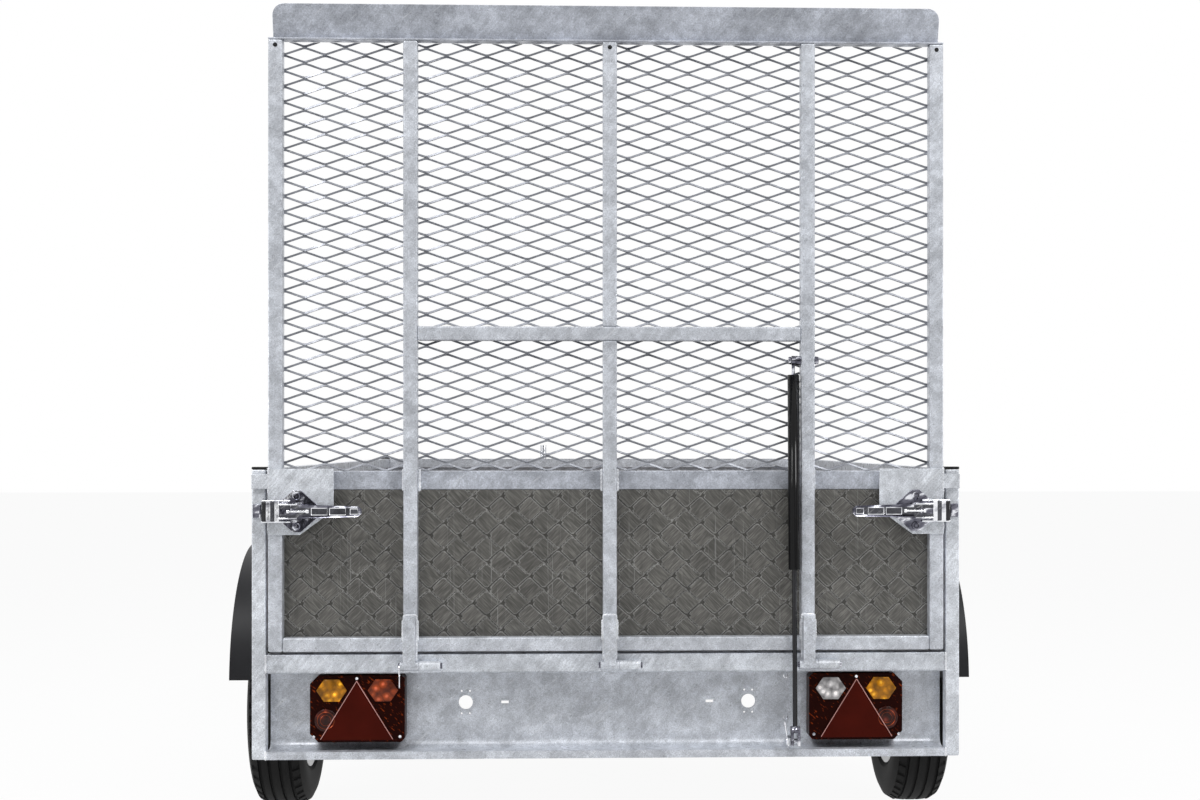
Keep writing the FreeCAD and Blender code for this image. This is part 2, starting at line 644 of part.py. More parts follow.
def tyre_points():
    """Half of the tyre's section, mirrored, as (along X, radius)."""
    seat = "rim_radius + end_gap"
    half = (  # along X, radius
        ("tread_half", "tyre_radius"),
        ("tread_half + shoulder", "tyre_radius - shoulder"),
        ("tyre_wide / 2", "(tyre_radius + rim_radius) / 2 + wall_rise"),
        ("tyre_wide / 2 - wall_in", "rim_radius + wall_foot"),
        ("rim_half + rim_sheet + bead_gap", "rim_radius + rim_flange + bead_gap"),
        ("rim_half - end_gap", "rim_radius + rim_flange + bead_gap"),
        ("rim_half - end_gap", seat),
    )
    return list(half) + [("-(%s)" % x, r) for x, r in reversed(half)]


def rim_points(way):
    """Barrel with two flanges and a dished disc, as (along X, radius)."""
    barrel = "rim_radius - rim_sheet"
    lip = "rim_radius + rim_flange"
    points = (
        ("rim_half", "rim_radius"), ("rim_half", lip), ("rim_half + rim_sheet", lip),
        ("rim_half + rim_sheet", barrel), ("dish_out + 2 * rim_sheet", barrel),
        ("dish_out + dish_step + rim_sheet", "rim_radius - dish_rim"),
        ("dish_out + rim_sheet", "hub_flange + dish_land"), ("dish_out + rim_sheet", "bore_radius"),
        ("dish_out", "bore_radius"), ("dish_out", "hub_flange + dish_land"),
        ("dish_out + dish_step", "rim_radius - dish_rim"), ("dish_out + rim_sheet", barrel),
        ("-rim_half - rim_sheet", barrel), ("-rim_half - rim_sheet", lip),
        ("-rim_half", lip), ("-rim_half", "rim_radius"),
    )
    return [("%d * (%s)" % (way, x), r) for x, r in points]


def hub_points(way):
    """Hub with a flange against the disc and a grease cap through it."""
    bore = "spindle_radius + running_gap"
    points = (
        ("dish_out", "bore_radius - end_gap"), ("dish_out", "hub_flange"),
        ("dish_out - hub_thick", "hub_flange"), ("dish_out - hub_thick", "bore_radius + hub_neck"),
        ("-tyre_wide / 2 + hub_back", "bore_radius"), ("-tyre_wide / 2 + hub_back", bore),
        ("dish_out + cap_room", bore), ("dish_out + cap_room", "0"),
        ("dish_out + cap_out", "0"), ("dish_out + cap_face", "bore_radius - cap_taper"),
        ("dish_out + cap_side", "bore_radius - end_gap"),
    )
    return [("%d * (%s)" % (way, x), r) for x, r in points]


def wheels():
    for side, way in SIDES:
        spot = ("%d * wheel_x" % way, "axle_y", "tyre_radius")
        node(side + "_tyre", turned(tyre_points(), *spot))
        node(side + "_rim", turned(rim_points(way), *spot), turned(hub_points(way), *spot))


def arm_outline():
    """A trailing arm from the axle beam down and back to the wheel."""
    beam, wheel = "axle_tube / 2", "arm_half"
    return [
        ("axle_beam_y - %s" % beam, "axle_beam_z + %s" % beam),
        ("axle_beam_y + %s" % beam, "axle_beam_z + %s" % beam),
        ("axle_beam_y + %s" % beam, "axle_beam_z - %s" % beam),
        ("axle_y + %s" % wheel, "tyre_radius - %s" % wheel),
        ("axle_y - %s" % wheel, "tyre_radius - %s" % wheel),
        ("axle_y - %s" % wheel, "tyre_radius + %s" % wheel),
    ]


def axle():
    half_tube = "axle_tube / 2"
    end = "inner_half + end_gap"
    beam = block(("-(%s)" % end, end),
                 ("axle_beam_y - " + half_tube, "axle_beam_y + " + half_tube),
                 ("axle_beam_z - " + half_tube, "axle_beam_z + " + half_tube))
    brackets = both(("inner_half - post", "half - end_gap"),
                    ("axle_beam_y - axle_tube / 2 + seat_inset",
                     "axle_beam_y + axle_tube / 2 - seat_inset"),
                    ("axle_beam_z + " + half_tube, "frame_low"))
    node("axle_beam", beam, *brackets)
    arms = []
    for side, way in SIDES:
        x = (end, "%s + arm_thick" % end)
        x = x if way > 0 else mirrored(x)
        stub = ("%s + arm_thick" % end, "wheel_x + dish_out + stub_end")
        stub = stub if way > 0 else mirrored(stub)
        arms.append(joined(plate("YZ", arm_outline(), *x),
                           rod("x", *stub, "spindle_radius", y="axle_y", z="tyre_radius")))
    node("suspension_arms", *arms)


def mudguards():
    stays = []
    for side, way in SIDES:
        def across(low, high):
            return (low, high) if way > 0 else mirrored((low, high))
        hub = {"y": "axle_y", "z": "guard_z"}
        skin = rod("x", *across("half", "half + guard_wide"), "guard_radius", **hub)
        room = rod("x", *across("half - overcut", "half + guard_wide - guard_sheet"),
                   "guard_radius - guard_sheet", **hub)
        open_side = rod("x", *across("half", "half + guard_wide + overcut"),
                        "guard_radius - guard_skirt", **hub)
        below = block(across("half - overcut", "half + guard_wide + overcut"),
                      ("axle_y - guard_radius - overcut", "axle_y + guard_radius + overcut"),
                      ("guard_z - guard_radius - overcut", "guard_z + guard_foot"))
        node(side + "_mudguard", less(skin, room, open_side, below))
        for end in (-1, 1):
            top = "frame_low + frame_height / 2 + stay_tall / 2"
            rise = "%s - guard_z" % top
            out = "sqrt((guard_radius - guard_sheet) ^ 2 - (%s) ^ 2) - stay_fit" % rise
            y = ("axle_y + %s" % out, "axle_y + %s - stay_sheet" % out)
            y = (y[1], y[0]) if end > 0 else ("axle_y - (%s)" % out,
                                              "axle_y - (%s) + stay_sheet" % out)
            stays.append(block(across("half", "half + guard_wide - stay_short"), y,
                               (top + " - stay_tall", top)))
    node("mudguard_stays", *stays)


# ---- drawbar, coupling, jockey wheel ------------------------------------------------

def drawbar():
    z = ("draw_low", "frame_low")
    nose = block(("-nose_half", "nose_half"), ("nose_end - nose_long", "nose_end"), z)
    node("nose_tube", nose)
    for side, way in SIDES:
        points = [("nose_half", "draw_end - draw_wide"), ("nose_half", "draw_end"),
                  ("nose_half + draw_wide", "draw_end - draw_wide"),
                  ("draw_root_x + draw_wide", "draw_root_y"), ("draw_root_x", "draw_root_y")]
        points = [("%d * (%s)" % (way, x), y) for x, y in points]
        node(side + "_drawbar", plate("XY", points, *z))


def coupling():
    half = "coupling_wide / 2"
    z = ("coupling_low", "frame_low")
    head = joined(block(("-" + half, half), ("nose_end", "ball_y"), z),
                  rod("z", *z, half, y="ball_y"),
                  block(("-" + half, half), ("nose_end - saddle_long", "nose_end"),
                        ("frame_low", "frame_low + saddle")),
                  block(("-" + half, half), ("nose_end", "nose_end + saddle"),
                        ("frame_low", "frame_low + saddle")))
    ball = doc.addObject("Part::Sphere", "Ball")
    ball.setExpression("Radius", full("ball_radius"))
    place(ball, y="ball_y", z="ball_z")
    mouth = rod("z", "coupling_low - overcut", "ball_z", "ball_radius", y="ball_y")
    node("coupling_head", less(head, ball, mouth))
    front, back = "ball_y - handle_front", "nose_end - handle_reach"
    lever = [("nose_end + handle_root", "frame_low"), (front, "frame_low"),
             (front + " - handle_lean", "frame_low + handle_knee"),
             (back, "frame_low + handle_rise"),
             (back + " - handle_tip", "frame_low + handle_rise - handle_thick"),
             ("nose_end + handle_root - handle_heel", "frame_low + handle_bend")]
    node("coupling_lever", plate("YZ", lever, "-handle_half", "handle_half"))


def jack():
    axis = {"x": "jack_x", "y": "jack_y"}
    tube = rod("z", "jack_low", "jack_high", "jack_radius", **axis)
    bore = rod("z", "jack_low - overcut", "jack_high - jack_cap", "jack_inner + running_gap", **axis)
    node("jack_tube", less(tube, bore))
    middle = "(draw_low + frame_low) / 2"
    z = (middle + " - clamp_tall / 2", middle + " + clamp_tall / 2")
    outer = "jack_radius + clamp_wall"
    clamp = joined(rod("z", *z, outer, **axis),
                   block(("jack_x", "-nose_half"), ("jack_y - clamp_half", "jack_y + clamp_half"), z))
    hole = rod("z", z[0] + " - overcut", z[1] + " + overcut", "jack_radius + clamp_fit", **axis)
    handle = rod("x", "jack_x - jack_radius - screw_end", "jack_x - jack_radius - screw_start",
                 "screw_radius", y="jack_y", z=middle)
    bar = rod("z", middle + " - tommy_half", middle + " + tommy_half", "tommy_radius",
              x="jack_x - jack_radius - tommy_place", y="jack_y")
    node("jack_clamp", joined(less(clamp, hole), handle, bar))
    post = rod("z", "jack_high", "jack_high + crank_post", "crank_post_radius", **axis)
    arm = rod("x", "jack_x - crank_reach", "jack_x", "crank_radius",
              y="jack_y", z="jack_high + crank_post")
    grip = rod("z", "jack_high + crank_post", "jack_high + crank_post + grip_tall", "grip_radius",
               x="jack_x - crank_reach", y="jack_y")
    node("jack_crank", joined(post, arm, grip))
    inner = rod("z", "inner_low", "inner_high", "jack_inner", **axis)
    socket = rod("z", "inner_low - overcut", "inner_low + socket_deep", "caster_pin + running_gap", **axis)
    node("jack_inner_tube", less(inner, socket))


def jockey_wheel():
    wheel = {"y": "caster_y", "z": "caster_radius"}
    axis = {"x": "jack_x", "y": "jack_y"}
    legs = []
    cheek, foot = "crown_low - fork_cheek", "caster_radius - leg_below"
    outline = [("jack_y - fork_half", "crown_low + crown"),
               ("jack_y + fork_half", "crown_low + crown"), ("jack_y + fork_half", cheek),
               ("caster_y + leg_half", foot), ("caster_y - leg_half", foot),
               ("jack_y - fork_half", cheek)]
    for way in (-1, 1):
        low = "jack_x + %d * (leg_x + fork_plate / 2) - fork_plate / 2" % way
        legs.append(plate("YZ", outline, low, low + " + fork_plate"))
    crown = block(("jack_x - leg_x", "jack_x + leg_x"), ("jack_y - fork_half", "jack_y + fork_half"),
                  ("crown_low", "crown_low + crown"))
    pivot = rod("z", "crown_low + crown", "inner_low + pivot_long", "caster_pin", **axis)
    pin = rod("x", "jack_x - leg_x - fork_plate - pin_end",
              "jack_x + leg_x + fork_plate + pin_end", "caster_pin", **wheel)
    node("jack_fork", joined(*legs, crown, pivot, pin))
    wide = ("-caster_wide / 2", "caster_wide / 2")
    bore = "caster_pin + running_gap"
    side = "caster_radius - caster_side"
    tyre = [(wide[0], "caster_rim + end_gap"), (wide[1], "caster_rim + end_gap"),
            (wide[1], side), ("caster_wide / 2 - caster_round", "caster_radius"),
            ("-caster_wide / 2 + caster_round", "caster_radius"), (wide[0], side)]
    node("jack_tyre", turned(tyre, "jack_x", "caster_y", "caster_radius"))
    edge, well = "caster_rim - caster_lip", "caster_rim - caster_well"
    rim = [(wide[0], "caster_rim"), (wide[0], edge), ("-caster_web", well),
           ("-caster_web", "caster_hub"), (wide[0], "caster_boss"), (wide[0], bore),
           (wide[1], bore), (wide[1], "caster_boss"), ("caster_web", "caster_hub"),
           ("caster_web", well), (wide[1], edge), (wide[1], "caster_rim")]
    node("jack_rim", turned(rim, "jack_x", "caster_y", "caster_radius"))


# ---- ramp ---------------------------------------------------------------------------

def bar_x(index):
    """Middle of bar 0, 1 or 2, from the left."""
    return "bar_shift + %d * bar_pitch" % (index - 1)


def ramp_frame():
    layer = ("0", "post")
    edge = ("ramp_half - post", "ramp_half")
    node("ramp_side_tubes", *both(edge, layer, ("ramp_low", "ramp_high")))
    across = ("-ramp_half + post", "ramp_half - post")
    foot_top = "ramp_low + post"
    between = ("%s + post / 2" % bar_x(0), "%s - post / 2" % bar_x(2))
    node("ramp_cross_tubes", block(across, layer, ("ramp_low", foot_top)),
         block(between, layer, ("mid_low", "mid_low + post")))
    bars = []
    for index, spans in enumerate((((foot_top, "ramp_high"),),
                                   ((foot_top, "mid_low"), ("mid_low + post", "ramp_high")),
                                   ((foot_top, "ramp_high"),))):
        x = (bar_x(index) + " - post / 2", bar_x(index) + " + post / 2")
        bars += [block(x, layer, span) for span in spans]
    node("ramp_bars", *bars)
    skin = ("-skin_half", "skin_half")
    node("ramp_rail", block(skin, ("post", "post + rail_deep"), ("rail_low", "rail_high")))
    node("tread_plate", block(skin, ("post", "post + tread_sheet"),
                              ("ramp_low + tread_start", "rail_low")))


def toe_plate():
    high = "ramp_high + toe_sheet"
    top = "ramp_high + toe_height"
    flange = block(("-ramp_half", "ramp_half"), ("0", "post"), ("ramp_high", high))
    slab = plate("YZ", [("post - toe_sheet", high), ("post", high),
                        ("post - toe_lean", top), ("post - toe_lean - toe_sheet", top)],
                 "-(ramp_half - toe_inset)", "ramp_half - toe_inset")
    end, low = "ramp_half - toe_inset", top + " - toe_corner"
    deep = ("post - toe_lean - toe_sheet - overcut", "post + overcut")
    shape = [block(("-(%s)" % end, end), deep, ("ramp_high", low)),
             block(("-(%s - toe_corner)" % end, end + " - toe_corner"), deep, (low, top))]
    for way in (-1, 1):
        shape.append(rod("y", *deep, "toe_corner", x="%d * (%s - toe_corner)" % (way, end), z=low))
    node("toe_plate", flange, shared(slab, joined(*shape)))


def clipped(points, axis, limit, keep_above):
    """The part of a flat polygon on one side of a line across an axis."""
    kept = []
    for index, here in enumerate(points):
        before = points[index - 1]
        inside = [(p[axis] >= limit) == keep_above for p in (before, here)]
        if inside[0] != inside[1]:
            share = (limit - before[axis]) / (here[axis] - before[axis])
            kept.append(before + (here - before) * share)
        if inside[1]:
            kept.append(here)
    return kept


def mesh_openings(low_x, high_x, low_z, high_z):
    """Diamond openings in two staggered sets, trimmed at the panel's border."""
    long, short = value("mesh_long"), value("mesh_short")
    half_x, half_z = long / 2, short / 2
    inset = 1 - value("mesh_strand") / 2 * (half_x ** 2 + half_z ** 2) ** 0.5 / (half_x * half_z)
    shapes = []
    for row in range(int((high_z - low_z) / half_z) + 3):
        for column in range(-int(high_x / half_x) - 2, int(high_x / half_x) + 3):
            if (row + column) % 2:
                continue
            middle = Vector(column * half_x, 0, low_z + row * half_z)
            corners = [middle + Vector(half_x * inset * u, 0, half_z * inset * w)
                       for u, w in ((1, 0), (0, -1), (-1, 0), (0, 1))]
            for axis, limit, above in ((0, low_x, True), (0, high_x, False),
                                       (2, low_z, True), (2, high_z, False)):
                corners = clipped(corners, axis, limit, above) if corners else corners
            if len(corners) > 2:
                outline = Part.makePolygon(corners + corners[:1])
                if Part.Face(outline).Area > half_x * half_z / 10:
                    shapes.append(outline)
    return shapes


def mesh_panel():
    """Expanded mesh as one sheet with its openings, behind the bars."""
    half, margin = value("skin_half"), value("mesh_strand")
    low, high = value("rail_high"), value("ramp_high")
    corners = [Vector(x, 0, z) for x, z in ((-half, low), (half, low), (half, high), (-half, high))]
    border = Part.makePolygon(corners + corners[:1])
    inner = value("ramp_half") - value("post")
    openings = mesh_openings(-inner, inner, low + margin, high - margin)
    face = Part.Face([border] + openings)
    panel = doc.addObject("Part::Feature", "Mesh")
    panel.Shape = face.extrude(Vector(0, value("mesh_sheet"), 0))
    panel.Placement = FreeCAD.Placement(
        Vector(0, value("face_y") + value("post"), 0), FreeCAD.Rotation())
    node("mesh_panel", panel)


def gussets():
    plates = []
    outer, inner = "ramp_half", "ramp_half - gusset_wide"
    low = "gusset_high - gusset_tall"
    for side, way in SIDES:
        outline = [(outer, low), (outer, "gusset_high - tab_drop - tab_tall"),
                   ("half - tab_end", "gusset_high - tab_drop - tab_tall"),
                   ("half - tab_end", "gusset_high - tab_drop"), (outer, "gusset_high - tab_drop"),
                   (outer, "gusset_high"), (inner, "gusset_high"),
                   (inner, low + " + gusset_cut"),
                   (outer + " - gusset_leg - gusset_step", low), ]
        outline = [("%d * (%s)" % (way, x), z) for x, z in outline]
        plates.append(plate("XZ", outline, "-gusset_sheet", "0"))
    node("corner_plates", *plates)


# ---- latches ------------------------------------------------------------------------

def latches():
    bases, levers, loops, keepers = [], [], [], []
    for side, way in SIDES:
        def out(formula):
            return "%d * (%s)" % (way, formula)

        def across(low, high):
            return (low, high) if way > 0 else mirrored((low, high))
        diamond = [(out("latch_x + latch_wide / 2"), "latch_z"),
                   (out("latch_x + diamond_flat"), "latch_z + latch_tall / 2"),
                   (out("latch_x - diamond_flat"), "latch_z + latch_tall / 2"),
                   (out("latch_x - latch_wide / 2"), "latch_z"),
                   (out("latch_x - diamond_flat"), "latch_z - latch_tall / 2"),
                   (out("latch_x + diamond_flat"), "latch_z - latch_tall / 2")]
        bases.append(joined(
            plate("XZ", diamond, "latch_face", "-gusset_sheet"),
            block(across("latch_x - lever_heel", "latch_x - lever_heel + block_wide"),
                  ("loop_y", "latch_face"),
                  ("latch_z - block_tall / 2", "latch_z + block_tall / 2"))))
        lever = [(out("latch_x + lever_heel"), "latch_z - lever_root / 2"),
                 (out("latch_x + lever_heel"), "latch_z + lever_root / 2"),
                 (out("latch_x - lever_long + lever_bevel"), "latch_z + lever_tip / 2"),
                 (out("latch_x - lever_long"), "latch_z + lever_tip / 2 - lever_nose"),
                 (out("latch_x - lever_long"), "latch_z - lever_tip / 2 + lever_nose"),
                 (out("latch_x - lever_long + lever_bevel"), "latch_z - lever_tip / 2")]
        levers.append(plate("XZ", lever, "loop_y - lever_thick", "loop_y"))
        bar_y = ("loop_y + loop_seat", "loop_y + loop_seat + loop_bar")
        end = "latch_x + loop_reach"
        arms = [block(across("latch_x + lever_heel", end), bar_y,
                      ("latch_z + %s" % low, "latch_z + %s" % high))
                for low, high in (("loop_tall / 2 - loop_bar", "loop_tall / 2"),
                                  ("(-loop_tall / 2)", "(-loop_tall / 2 + loop_bar)"))]
        root = [block(across("latch_x + lever_heel", "latch_x + lever_heel + loop_bar"), bar_y, span)
                for span in (("latch_z + block_tall / 2", "latch_z + loop_tall / 2 - loop_bar"),
                             ("latch_z - loop_tall / 2 + loop_bar", "latch_z - block_tall / 2"))]
        hook = block(across(end + " - loop_bar", end), bar_y,
                     ("latch_z - loop_tall / 2", "latch_z + loop_tall / 2"))
        loops.append(joined(hook, *arms, *root))
        lip = end + " - loop_bar - lip_gap"
        z = ("latch_z - keeper_tall / 2", "latch_z + keeper_tall / 2")
        keepers.append(joined(
            block(across(lip + " - keeper_sheet", lip), ("setback - keeper_out", "setback"), z),
            block(across(lip, "half - keeper_inset"), ("setback - keeper_sheet", "setback"), z)))
    node("latch_bases", *bases)
    node("latch_levers", *levers)
    node("latch_loops", *loops)
    node("latch_keepers", *keepers)


# ---- hinges -------------------------------------------------------------------------

def hinges():
    arms, blocks, pins = [], [], []
    axis = {"y": "hinge_y", "z": "hinge_z"}
    bore = "pin_radius + running_gap"
    for index in range(3):
        middle = bar_x(index)
        low = middle + " - moving_sleeve / 2"
        seam = middle + " + moving_sleeve / 2"
        start = seam + " + end_gap"
        stop = start + " + fixed_sleeve"
        arm = block((middle + " - arm_wide / 2", middle + " + arm_wide / 2"),
                    ("-arm_wide", "0"), ("hinge_z", "ramp_low + arm_top"))
        arms.append(less(joined(arm, rod("x", low, seam, "sleeve_radius", **axis)),
                         rod("x", low + " - overcut", seam + " + overcut", bore, **axis)))
        pad = block((start, stop), ("hinge_y", "setback"), ("hinge_z - pad_half", "hinge_z + pad_half"))
        blocks.append(less(joined(pad, rod("x", start, stop, "sleeve_radius", **axis)),
                           rod("x", start + " - overcut", stop + " + overcut", bore, **axis)))
        pins.append(rod("x", low + " - pin_head", stop + " + pin_head", "pin_radius", **axis))
    node("hinge_arms", *arms)
    node("hinge_sleeves", *blocks)
    node("hinge_pins", *pins)


# ---- gas strut ----------------------------------------------------------------------

def strut_turn():
    """The strut leans: its foot stands further back than its top."""
    lean = FreeCAD.Rotation(Vector(0, 0, -1),
                            Vector(0, -value("strut_run_y"), -value("strut_run_z")))
    top = Vector(value("strut_x"), value("strut_top_y") + value("face_y"), value("strut_top_z"))
    return FreeCAD.Placement(top, lean)


def upright_rod(axis, low, high, radius, z="0"):
    """A cylinder in the strut's own frame: its upper eye at the origin."""
    turn = {"x": (Vector(0, 1, 0), 90), "z": (Vector(0, 0, 1), 0)}
    cylinder = doc.addObject("Part::Cylinder", "Rod")
    cylinder.Placement.Rotation = FreeCAD.Rotation(*turn[axis])
    cylinder.setExpression("Radius", full(radius))
    cylinder.setExpression("Height", full("(%s) - (%s)" % (high, low)))
    spot = {"x": low, "z": z} if axis == "x" else {"z": low}
    for letter, formula in spot.items():
        cylinder.setExpression("Placement.Base." + letter, full(formula))
    return cylinder


def strut():
    eye = ("-eye_thick / 2", "eye_thick / 2")
    end = "(-cylinder_top - cylinder_long)"
    barrel = joined(upright_rod("z", end, "-cylinder_top", "strut_radius"),
                    upright_rod("z", "-cylinder_top", "0", "neck_radius"),
                    upright_rod("x", *eye, "eye_radius"))
    inside = end + " + cylinder_long - cylinder_end"
    node("strut_cylinder", less(
        barrel, upright_rod("x", "-eye_thick", "eye_thick", "rod_radius + running_gap"),
        upright_rod("z", end + " - overcut", inside, "rod_radius + running_gap")))
    foot = "(-strut_long)"
    half = "fork / 2"
    shank = upright_rod("z", foot + " + fork_tall - fork / 2", end + " + rod_inside", "rod_radius")
    fork = doc.addObject("Part::Box", "Fork")
    slot = doc.addObject("Part::Box", "Slot")
    for box, wide in ((fork, "fork"), (slot, "fork_slot")):
        box.setExpression("Length", full(wide))
        box.setExpression("Width", full("fork + 2 * (%s)" % ("0" if box is fork else "overcut")))
        box.setExpression("Placement.Base.x", full("-(%s) / 2" % wide))
        box.setExpression("Placement.Base.y", full("-(%s)" % (half if box is fork else half + " + overcut")))
    fork.setExpression("Height", full("fork_tall"))
    fork.setExpression("Placement.Base.z", full(foot + " - " + half))
    slot.setExpression("Height", full("fork_tall - fork_bridge"))
    slot.setExpression("Placement.Base.z", full(foot + " - " + half + " - overcut"))
    pin = upright_rod("x", "-" + half, half, "rod_radius", z=foot)
    node("strut_rod", joined(less(fork, slot), shank, pin))


def strut_mounts():
    """The stud on the ramp's bar and the bracket on the light board."""
    top = {"y": "strut_top_y", "z": "strut_top_z"}
    eye_side = "strut_x + eye_thick / 2 + end_gap"
    far = "strut_bar + post"
    node("strut_stud",
         joined(rod("x", "strut_x - eye_thick / 2 - end_gap", "strut_bar", "rod_radius", **top),
                rod("x", eye_side, "strut_bar", "eye_radius", **top),
                rod("x", "strut_x - eye_thick / 2 - end_gap - stud_cap",
                    "strut_x - eye_thick / 2 - end_gap", "stud_head", **top)),
         rod("x", far, far + " + stud_nut", "stud_head", **top))
    face = "strut_x - fork / 2 - end_gap"
    seat = "board_floor"
    back = "(-strut_foot_back)"
    outline = [("setback + foot_long", seat), ("setback + foot_long", seat + " + foot_edge"),
               (back + " + ear_fore", "strut_foot_z + ear_rise"),
               (back + " - ear_back", "strut_foot_z + ear_high"),
               (back + " - ear_back", "strut_foot_z - ear_low"),
               (back + " + ear_under", "strut_foot_z - ear_drop"), ("setback", seat)]
    upright = plate("YZ", outline, face + " - bracket_sheet", face)
    foot = block((face + " - flange_wide", face + " - bracket_sheet"),
                 ("setback + flange_start", "setback + flange_end"),
                 (seat, seat + " + flange_sheet"))
    node("strut_bracket", upright, foot)


# ---- build, check and write ---------------------------------------------------------

sheet, places = size_sheet()
frame()
body()
light_board()
lamps()
wheels()
axle()
mudguards()
drawbar()
coupling()
jack()
jockey_wheel()
ramp_frame()
toe_plate()
mesh_panel()
gussets()
latches()
hinges()
strut()
strut_mounts()
doc.recompute()
for leaning in NODES:
    if leaning.Label in ("strut_cylinder", "strut_rod"):
        leaning.Placement = strut_turn()
doc.recompute()

for thing in doc.Objects:
    if {"Invalid", "Error"} & set(thing.State):
        raise RuntimeError("%s (%s) failed" % (thing.Name, thing.Label))
os.makedirs("parts", exist_ok=True)
for thing in NODES:
    if thing.Shape.isNull() or not thing.Shape.isValid() or not thing.Shape.Solids:
        raise RuntimeError(thing.Label + " is not a valid solid")
    thing.Shape.exportStep("parts/%s.step" % thing.Label)
whole = Part.makeCompound([thing.Shape for thing in NODES])
print(len(NODES), "sub-parts,", len(whole.Solids), "solids,", whole.BoundBox)
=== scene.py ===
"""The looks of the utility trailer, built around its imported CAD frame.

Metres, +X right seen from behind, +Y forward, +Z up, the ground at Z 0.
"""
import bpy
import json
import math
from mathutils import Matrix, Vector

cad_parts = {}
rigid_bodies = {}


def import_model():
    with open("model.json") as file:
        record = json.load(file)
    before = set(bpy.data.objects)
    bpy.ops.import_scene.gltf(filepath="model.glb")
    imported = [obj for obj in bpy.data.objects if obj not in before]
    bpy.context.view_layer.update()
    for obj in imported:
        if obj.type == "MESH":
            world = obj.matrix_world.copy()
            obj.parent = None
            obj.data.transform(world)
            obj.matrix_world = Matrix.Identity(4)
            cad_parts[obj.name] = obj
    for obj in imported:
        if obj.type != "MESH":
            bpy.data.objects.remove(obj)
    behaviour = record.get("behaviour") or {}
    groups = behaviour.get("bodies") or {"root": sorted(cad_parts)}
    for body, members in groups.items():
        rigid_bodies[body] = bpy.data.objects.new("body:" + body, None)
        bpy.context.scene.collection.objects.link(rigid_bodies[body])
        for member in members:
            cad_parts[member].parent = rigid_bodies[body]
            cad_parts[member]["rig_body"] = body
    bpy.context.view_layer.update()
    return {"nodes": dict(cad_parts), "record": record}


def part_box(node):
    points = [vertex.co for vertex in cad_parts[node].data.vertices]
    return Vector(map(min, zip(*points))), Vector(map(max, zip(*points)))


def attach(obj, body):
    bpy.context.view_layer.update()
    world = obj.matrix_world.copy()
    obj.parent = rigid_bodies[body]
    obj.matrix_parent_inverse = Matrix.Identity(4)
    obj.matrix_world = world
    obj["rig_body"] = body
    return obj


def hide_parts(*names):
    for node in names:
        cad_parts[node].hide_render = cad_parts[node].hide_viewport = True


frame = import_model()
nodes = frame["nodes"]

RAMP_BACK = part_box("ramp_side_tubes")[0].y
WHEEL = {side: (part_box(side + "_tyre")[0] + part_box(side + "_tyre")[1]) / 2
         for side in ("left", "right")}
TYRE_RADIUS = (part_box("left_tyre")[1].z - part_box("left_tyre")[0].z) / 2
TYRE_HALF = (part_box("left_tyre")[1].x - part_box("left_tyre")[0].x) / 2
BAR_PLACES = (-0.417, 0.004, 0.425)     # the ramp's three upright bars
LAMP_PLACE = 0.531                      # each lamp's middle, left and right
STRUT_PLACE = 0.385                     # the strut's bracket and fork
SAME_POINT = 0.00001                    # points nearer than this are one


# ---- modelling ----------------------------------------------------------------------

def deselect():
    if bpy.context.object and bpy.context.object.mode != "OBJECT":
        bpy.ops.object.mode_set(mode="OBJECT")
    bpy.ops.object.select_all(action="DESELECT")


def pick(*things):
    """Only these objects are selected, and the first is active."""
    deselect()
    for thing in things:
        thing.select_set(True)
    bpy.context.view_layer.objects.active = things[0]


def edit(thing):
    pick(thing)
    bpy.ops.object.mode_set(mode="EDIT")
    bpy.ops.mesh.select_mode(type="VERT")
    bpy.ops.mesh.select_all(action="SELECT")


def done():
    bpy.ops.object.mode_set(mode="OBJECT")


def settle(thing):
    """Puts a finished piece's place into its mesh."""
    pick(thing)
    bpy.ops.object.transform_apply(location=True, rotation=True, scale=True)
    return thing


def choose_faces(thing, test):
    """Selects the faces whose centre and normal pass the test."""
    pick(thing)
    bpy.ops.object.mode_set(mode="EDIT")
    bpy.ops.mesh.select_all(action="DESELECT")
    bpy.ops.mesh.select_mode(type="FACE")
    bpy.ops.object.mode_set(mode="OBJECT")
    for face in thing.data.polygons:
        face.select = test(face.center, face.normal)
    bpy.ops.object.mode_set(mode="EDIT")


def modify(thing, kind, **settings):
    """Adds one modifier and applies it."""
    pick(thing)
    modifier = thing.modifiers.new(kind.title(), kind)
    for key, setting in settings.items():
        setattr(modifier, key, setting)
    bpy.ops.object.modifier_apply(modifier=modifier.name)
    return thing


def eased(thing, width, segments=2):
    return modify(thing, "BEVEL", width=width, segments=segments, limit_method="ANGLE")


def smooth(thing, angle=35):
    pick(thing)
    bpy.ops.object.shade_smooth_by_angle(angle=math.radians(angle))
    return thing


def merged(name, things):
    pick(*things)
    if len(things) > 1:
        bpy.ops.object.join()
    things[0].name = things[0].data.name = name
    return things[0]


def copied(thing, shift):
    """A copy with a mesh of its own, moved."""
    twin = thing.copy()
    twin.data = thing.data.copy()
    bpy.context.collection.objects.link(twin)
    twin.location = Vector(twin.location) + Vector(shift)
    return settle(twin)


def move_points(thing, test, shift=(0, 0, 0), spread=1):
    """Moves the points that pass the test, or spreads them from the middle."""
    pick(thing)
    bpy.ops.object.mode_set(mode="EDIT")
    bpy.ops.mesh.select_mode(type="VERT")
    bpy.ops.mesh.select_all(action="DESELECT")
    bpy.ops.object.mode_set(mode="OBJECT")
    for point in thing.data.vertices:
        point.select = bool(test(point.co))
    bpy.ops.object.mode_set(mode="EDIT")
    bpy.ops.transform.translate(value=shift)
    bpy.ops.transform.resize(value=(spread, 1, spread), center_override=(0, 0, 0))
    done()


